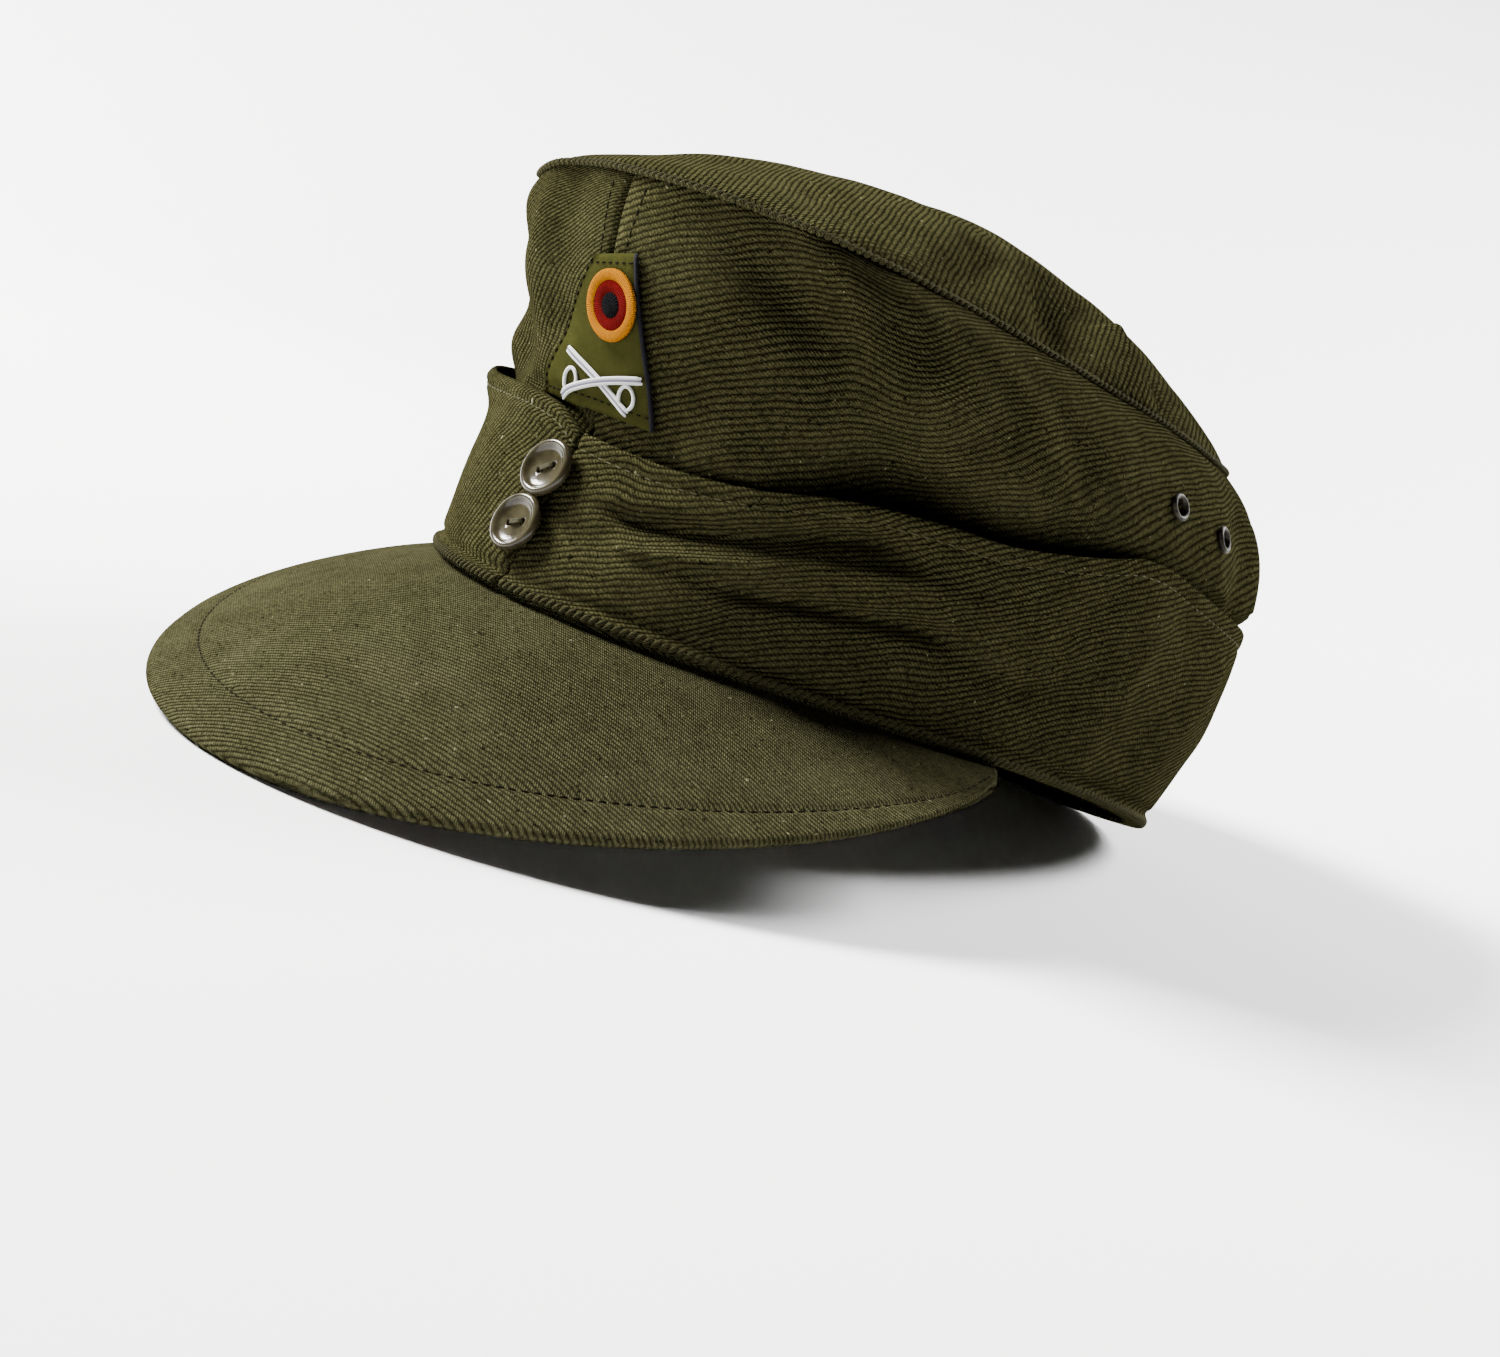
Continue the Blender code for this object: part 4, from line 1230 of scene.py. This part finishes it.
@dataclass(frozen=True)
class CockadeRing:
    """One embroidered ring of the cockade, or the disc in its middle.

    Attributes:
        node: The solid that it stands for.
        cloth: Its finish.
        slot: The record's material slot.
        inner: Inner radius, 0 for the disc.
        outer: Outer radius.
        tall: Height of its crest.
    """

    node: str
    cloth: Cloth
    slot: str
    inner: float
    outer: float
    tall: float

    def profile(self, steps: int = 9) -> list[tuple[float, float]]:
        """Radius and height of the ring's section, flat below and round above."""
        points = [(self.inner, 0.0), (self.outer, 0.0)]
        for i in range(steps + 1):
            t = i / steps
            turn = math.pi * (0.12 + 0.76 * t) if self.inner > 0 else math.pi / 2 * (0.2 + 0.8 * t)
            radius = self.outer + (self.inner - self.outer) * t
            points.append((radius, self.tall * (0.35 + 0.65 * math.sin(turn) ** 0.5)))
        return points

    def build(self, stand: Matrix) -> None:
        """Builds the ring, its strands from the middle outwards.

        Args:
            stand: Its place on the patch.
        """
        bm = bmesh.new()
        lathe(bm, self.profile(), 96)
        layer = weave_of(bm)
        for face in bm.faces:
            for loop in face.loops:
                x, y, _ = loop.vert.co
                turn = math.atan2(y, x)
                if turn < 0 and face.calc_center_median().y > 0:
                    turn += 2 * math.pi
                loop[layer].uv = (math.hypot(x, y), turn * 0.5 * (self.inner + self.outer))
        bm.transform(stand)
        settle(self.node + "_ring", bm, self.cloth, self.slot, [self.node])


@dataclass
class FrontPatch:
    """The felt patch on the crown's front, with its turned edges, cockade and crossed sabres.

    Attributes:
        height: The patch's height, and so on for its widths and place.
        seat: Gap from the crown to the patch's back.
        felt: The felt's thickness.
        faces: Faces across the felt and up it.
    """

    height: float = 33 * MM
    top_width: float = 14 * MM
    bottom_width: float = 42 * MM
    top_x: float = 2.4 * MM
    bottom_x: float = -1.8 * MM
    top_slant: float = 2.6 * MM
    middle_z: float = 0.637 * FORM.crown_height
    seat: float = 0.6 * MM
    felt: float = 1.0 * MM
    cockade_x: float = 5.0 * MM
    cockade_below_top: float = 10.2 * MM
    cross_x: float = 3.4 * MM
    cross_below_top: float = 26.5 * MM
    sabre_length: float = 25.5 * MM
    faces: int = 36

    def place(self, across: float, up: float, lift: float) -> Vector:
        """A point over the patch: across and up run from -0.5 to 0.5."""
        share = up + 0.5
        width = self.bottom_width + (self.top_width - self.bottom_width) * share
        middle = self.bottom_x + (self.top_x - self.bottom_x) * share
        slant = self.top_slant * across * share
        point, normal = FORM.crown_frame(middle + across * width, self.middle_z + up * self.height + slant)
        return point + normal * (self.seat + lift)

    def spot(self, x: float, below_top: float, lift: float) -> tuple[Vector, Vector]:
        """A point above the felt at this x and distance below its top, and the normal there."""
        point, normal = FORM.crown_frame(x, self.middle_z + self.height / 2 - below_top)
        return point + normal * (self.seat + self.felt + lift), normal

    def on_cross(self, x: float, z: float, lift: float) -> Vector:
        """A point above the felt, in shares of a sabre's length from where the two cross."""
        below = self.cross_below_top - z * self.sabre_length
        return self.spot(self.cross_x + x * self.sabre_length, below, lift)[0]

    def felt_surface(self, u: float, v: float) -> Vector:
        """A point of the felt's face, soft at its edges and pressed along its seams."""
        soft = min(1.0, 9 * u, 9 * (1 - u), 9 * v, 9 * (1 - v))
        lift = self.felt * (0.45 + 0.55 * math.sin(math.pi / 2 * soft))
        hem = 0.35 * MM * bump(v - 0.075, 0.02) + 0.2 * MM * bump(u - 0.05, 0.02)
        return self.place(u - 0.5, v - 0.5, lift - hem)

    def build_edges(self) -> None:
        """Builds the dark overcast edge on the wearer's left and the stitches of the other edges."""
        steps = [i / 30 - 0.5 for i in range(31)]
        bm = bmesh.new()
        tube(bm, [self.place(0.5, up, 0.45 * self.felt) for up in steps], 0.55 * MM)
        settle("patch_edge_cord", bm, Cloth.INK_THREAD, "black_thread")
        seams = []
        for line in ([(t, -0.425) for t in steps], [(-0.45, t) for t in steps], [(t, 0.44) for t in steps]):
            points = [self.place(across, up, self.felt * 0.9) for across, up in line]
            normals = [FORM.crown_frame(point.x, point.z)[1] for point in points]
            seams.append(SeamLine(points, normals, 2.3 * MM, 1.5 * MM, 0.22 * MM))
        sewn("patch_stitches", seams, Cloth.DARK_THREAD, "sewing_thread")

    def build_cockade(self) -> None:
        """Builds the three embroidered rings."""
        stand = facing(*self.spot(self.cockade_x, self.cockade_below_top, 0.15 * MM))
        for ring in (
            CockadeRing("cockade_gold", Cloth.GOLD, "gold_thread", 5.55 * MM, 8.0 * MM, 0.95 * MM),
            CockadeRing("cockade_red", Cloth.RED, "red_thread", 2.75 * MM, 5.65 * MM, 0.85 * MM),
            CockadeRing("cockade_black", Cloth.BLACK, "black_thread", 0.0, 2.8 * MM, 1.00 * MM),
        ):
            ring.build(stand)

    def build_sabres(self) -> None:
        """Builds the crossed sabres: two white strands and a grey one for each blade, and the guards."""
        white, grey = bmesh.new(), bmesh.new()
        strands = ((-0.020, white, 0.42, 0.0), (0.020, white, 0.42, 0.0), (0.0, grey, 0.26, 0.18))
        for number, (tip_x, tip_z, hilt_x, hilt_z, guard_x, guard_z) in enumerate(SABRES):
            run = Vector((hilt_x - tip_x, hilt_z - tip_z)).normalized()
            side = Vector((-run.y, run.x))
            for shift, bm, radius, above in strands:
                lift = (0.45 + 0.45 * number + above) * MM
                points = []
                for i in range(21):
                    t = i / 20
                    x = tip_x + (hilt_x - tip_x) * t + side.x * shift
                    z = tip_z + (hilt_z - tip_z) * t + side.y * shift + 0.03 * math.sin(math.pi * t)
                    points.append(self.on_cross(x, z, lift))
                tube(bm, points, radius * MM)
            guard = []
            for i in range(19):
                turn = math.radians(-70 + 300 * i / 18)
                x, z = guard_x + 0.085 * math.cos(turn), guard_z + 0.10 * math.sin(turn)
                guard.append(self.on_cross(x, z, 0.5 * MM))
            tube(white, guard, 0.42 * MM)
        settle("crossed_sabres_strands", white, Cloth.WHITE, "white_thread", ["crossed_sabres"])
        settle("sabre_centre_lines", grey, Cloth.LILAC, "white_thread")

    def build(self) -> None:
        """Builds the whole patch."""
        panel = ClothPanel("badge_patch", self.faces, self.faces, self.felt_surface)
        panel.build(Cloth.FELT, "felt", 0.8 * self.felt)
        self.build_edges()
        self.build_cockade()
        self.build_sabres()


@dataclass
class Button:
    """A dished plastic button with a raised rim, two holes and its thread.

    Attributes:
        name: The button's name.
        height: Its height over the rim plane.
        roll: Turn of its holes, in degrees.
        hole: Diameter of a hole, and so on for the button's other sizes.
    """

    name: str
    height: float
    roll: float
    diameter: float = 14 * MM
    thickness: float = 3.2 * MM
    hole: float = 1.7 * MM
    spacing: float = 3.6 * MM
    side_offset: float = 1.2 * MM
    thread: float = 0.27 * MM

    def place(self) -> Matrix:
        """Where the button's back is, with Z out of the cloth."""
        share = (self.height - FORM.rim_z(0)) / FORM.flap_tall(0)
        angle = -math.degrees(self.side_offset / (FORM.rim_half_width**2 / FORM.rim_front))
        point, normal = normal_on(FORM.flap_outside, angle, share, 4, 0.1)
        stand = facing(point + normal * (FORM.gap + 0.15 * MM), normal)
        return stand @ Matrix.Rotation(math.radians(self.roll), 4, "Z")

    def drill(self, piece: bpy.types.Object, stand: Matrix) -> None:
        """Cuts the two holes for good.

        Args:
            piece: The button's disc.
            stand: Its place on the cap.
        """
        bm = bmesh.new()
        sizes = {"radius1": self.hole / 2, "radius2": self.hole / 2, "depth": 4 * self.thickness}
        for side in (-1, 1):
            at = rested() @ stand @ Matrix.Translation((side * self.spacing / 2, 0, 0))
            bmesh.ops.create_cone(bm, cap_ends=True, segments=28, matrix=at, **sizes)
        cutter = meshed("holes", bm)
        cut = piece.modifiers.new("holes", "BOOLEAN")
        cut.operation = "DIFFERENCE"
        cut.solver = "EXACT"
        cut.object = cutter
        bpy.context.view_layer.update()
        graph = bpy.context.evaluated_depsgraph_get()
        drilled = bpy.data.meshes.new_from_object(piece.evaluated_get(graph))
        piece.modifiers.clear()
        piece.data = drilled
        bpy.data.objects.remove(cutter, do_unlink=True)

    def build(self) -> None:
        """Builds the button and its thread."""
        stand = self.place()
        bm = bmesh.new()
        profile = [(radius * self.diameter / 2, up * self.thickness) for radius, up in BUTTON_PROFILE]
        lathe(bm, profile, 72)
        bm.transform(stand)
        disc = settle(f"button_{self.name}_disc", bm, Cloth.BUTTON, "button", ["button_" + self.name])
        self.drill(disc, stand)
        high = 0.64 * self.thickness + 0.35 * MM
        bm = bmesh.new()
        for side in (-0.38, 0.0, 0.38):
            points = []
            for i in range(13):
                t = i / 12 * 2 - 1
                sink = 0.9 * MM * max(0.0, abs(t) - 0.72) / 0.28
                place = (t * self.spacing / 2, side * MM * (1 - 0.3 * abs(t)), high - sink)
                points.append(stand @ Vector(place))
            tube(bm, points, self.thread)
        strands, node = f"button_{self.name}_strands", "button_thread_" + self.name
        settle(strands, bm, Cloth.OLIVE_THREAD, "sewing_thread", [node])


@dataclass
class Eyelet:
    """A small lacquered ring through the crown.

    Attributes:
        node: The solid that it stands for.
        angle: Angle round the head.
        height: Height over the rim plane.
        outer: The ring's outer radius.
        inner: Its inner radius.
        wall: Thickness of its barrel.
        deep: How far the barrel goes into the crown.
    """

    node: str
    angle: float
    height: float
    outer: float = 3.3 * MM
    inner: float = 2.1 * MM
    wall: float = 0.5 * MM
    deep: float = 2.6 * MM

    def build(self) -> None:
        """Builds the ring."""
        base = FORM.crown_base_z(self.angle)
        share = (self.height - base) / (FORM.crown_top_z(self.angle) - base)
        barrel = self.inner + self.wall
        profile = [(self.inner, -self.deep), (barrel, -self.deep), (barrel, 0.0), (self.outer, 0.0)]
        middle, half = (self.outer + self.inner) / 2, (self.outer - self.inner) / 2
        for i in range(9):
            turn = math.pi * i / 8
            profile.append((middle + half * math.cos(turn), 0.25 * MM + 0.75 * MM * math.sin(turn)))
        bm = bmesh.new()
        lathe(bm, profile, 40)
        bm.transform(facing(*normal_on(FORM.crown_outside, self.angle, share, 3, 0.03)))
        settle(self.node + "_ring", bm, Cloth.EYELET, "eyelet_metal", [self.node])


@dataclass
class Studio:
    """The pale floor and backdrop, the soft lights and the camera.

    Attributes:
        floor_half: Half the floor's width.
        sweep_from: Distance behind the cap at which the floor starts to rise.
        lens: The camera's focal length in millimetres.
        camera_at: The camera's place over the rim plane, in millimetres.
        camera_right: The direction of the picture's right edge.
        camera_up: The direction of the picture's upper edge.
    """

    floor_half: float = 8.0
    sweep_from: float = 0.9
    lens: float = 61.06
    camera_at: Triple = (427.959, -475.296, 23.339)
    camera_right: Triple = (0.66683, 0.63809, 0.38494)
    camera_up: Triple = (-0.30599, -0.23654, 0.92218)

    def build_floor(self) -> None:
        """Builds a floor that sweeps up behind the cap into a backdrop."""
        bm = bmesh.new()
        bmesh.ops.create_grid(bm, x_segments=120, y_segments=120, size=self.floor_half)
        toward = Vector((-0.69, 0.73, 0.0)).normalized()
        for vert in bm.verts:
            away = max(0.0, vert.co.dot(toward) - self.sweep_from)
            vert.co.z = 1.1 * away * away / (0.5 + away)
        floor = meshed("studio_floor", bm)
        floor.data.shade_smooth()
        floor.data.materials.append(FloorFinish("studio_paper").make())

    def light(self, name: str, place: Vector, size: float, watts: float, tint: Triple) -> None:
        """Adds a square soft light that faces the cap."""
        data = bpy.data.lights.new(name, "AREA")
        data.shape = "SQUARE"
        data.size = size
        data.energy = watts
        data.color = tint
        lamp = linked(name, data)
        lamp.location = place
        lamp.rotation_euler = (Vector((0, 0, 0.07)) - place).to_track_quat("-Z", "Y").to_euler()

    def build_lights(self) -> None:
        """Builds a key light from the front on the wearer's right, a rear light and faint air light."""
        self.light("key", Vector((-1.20, -0.62, 1.22)), 0.6, 225, (1.0, 0.99, 0.97))
        self.light("rear", Vector((0.22, 1.35, 1.05)), 0.7, 90, (1.0, 1.0, 1.0))
        world = bpy.data.worlds.new("studio_air")
        world.use_nodes = True
        air = world.node_tree.nodes["Background"].inputs
        air["Color"].default_value = (1, 1, 1, 1)
        air["Strength"].default_value = 0.03
        bpy.context.scene.world = world

    def build_camera(self) -> None:
        """Builds the camera at the angle from which the cap is seen."""
        data = bpy.data.cameras.new("camera")
        data.lens = self.lens
        data.sensor_width = 36.0
        data.clip_start = 0.02
        camera = linked("camera", data)
        right, up = Vector(self.camera_right), Vector(self.camera_up)
        place = Matrix.Translation(Vector(self.camera_at) * MM)
        camera.matrix_world = rested() @ place @ axes(right, up, right.cross(up).normalized())
        bpy.context.scene.camera = camera

    def build(self) -> None:
        """Builds the studio."""
        self.build_floor()
        self.build_lights()
        self.build_camera()


def main() -> None:
    """Builds the cap piece by piece, then the studio."""
    logging.basicConfig(level=logging.INFO, format="%(name)s: %(message)s")
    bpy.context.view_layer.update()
    Studio().build()
    Crown().build()
    EarFlap(1, "flap_left", 22.0).build()
    EarFlap(-1, "flap_right", 48.0).build()
    Peak().build()
    FrontPatch().build()
    Button("upper", BUTTON_SHARE * FORM.flap_height, 35).build()
    Button("lower", BUTTON_SHARE * FORM.flap_height - BUTTON_PITCH, 20).build()
    for side, word in ((1, "left"), (-1, "right")):
        Eyelet(f"eyelet_{word}_front", side * 93.0, 0.80 * FORM.crown_height).build()
        Eyelet(f"eyelet_{word}_rear", side * 103.5, 0.784 * FORM.crown_height).build()


if __name__ == "__main__":
    main()
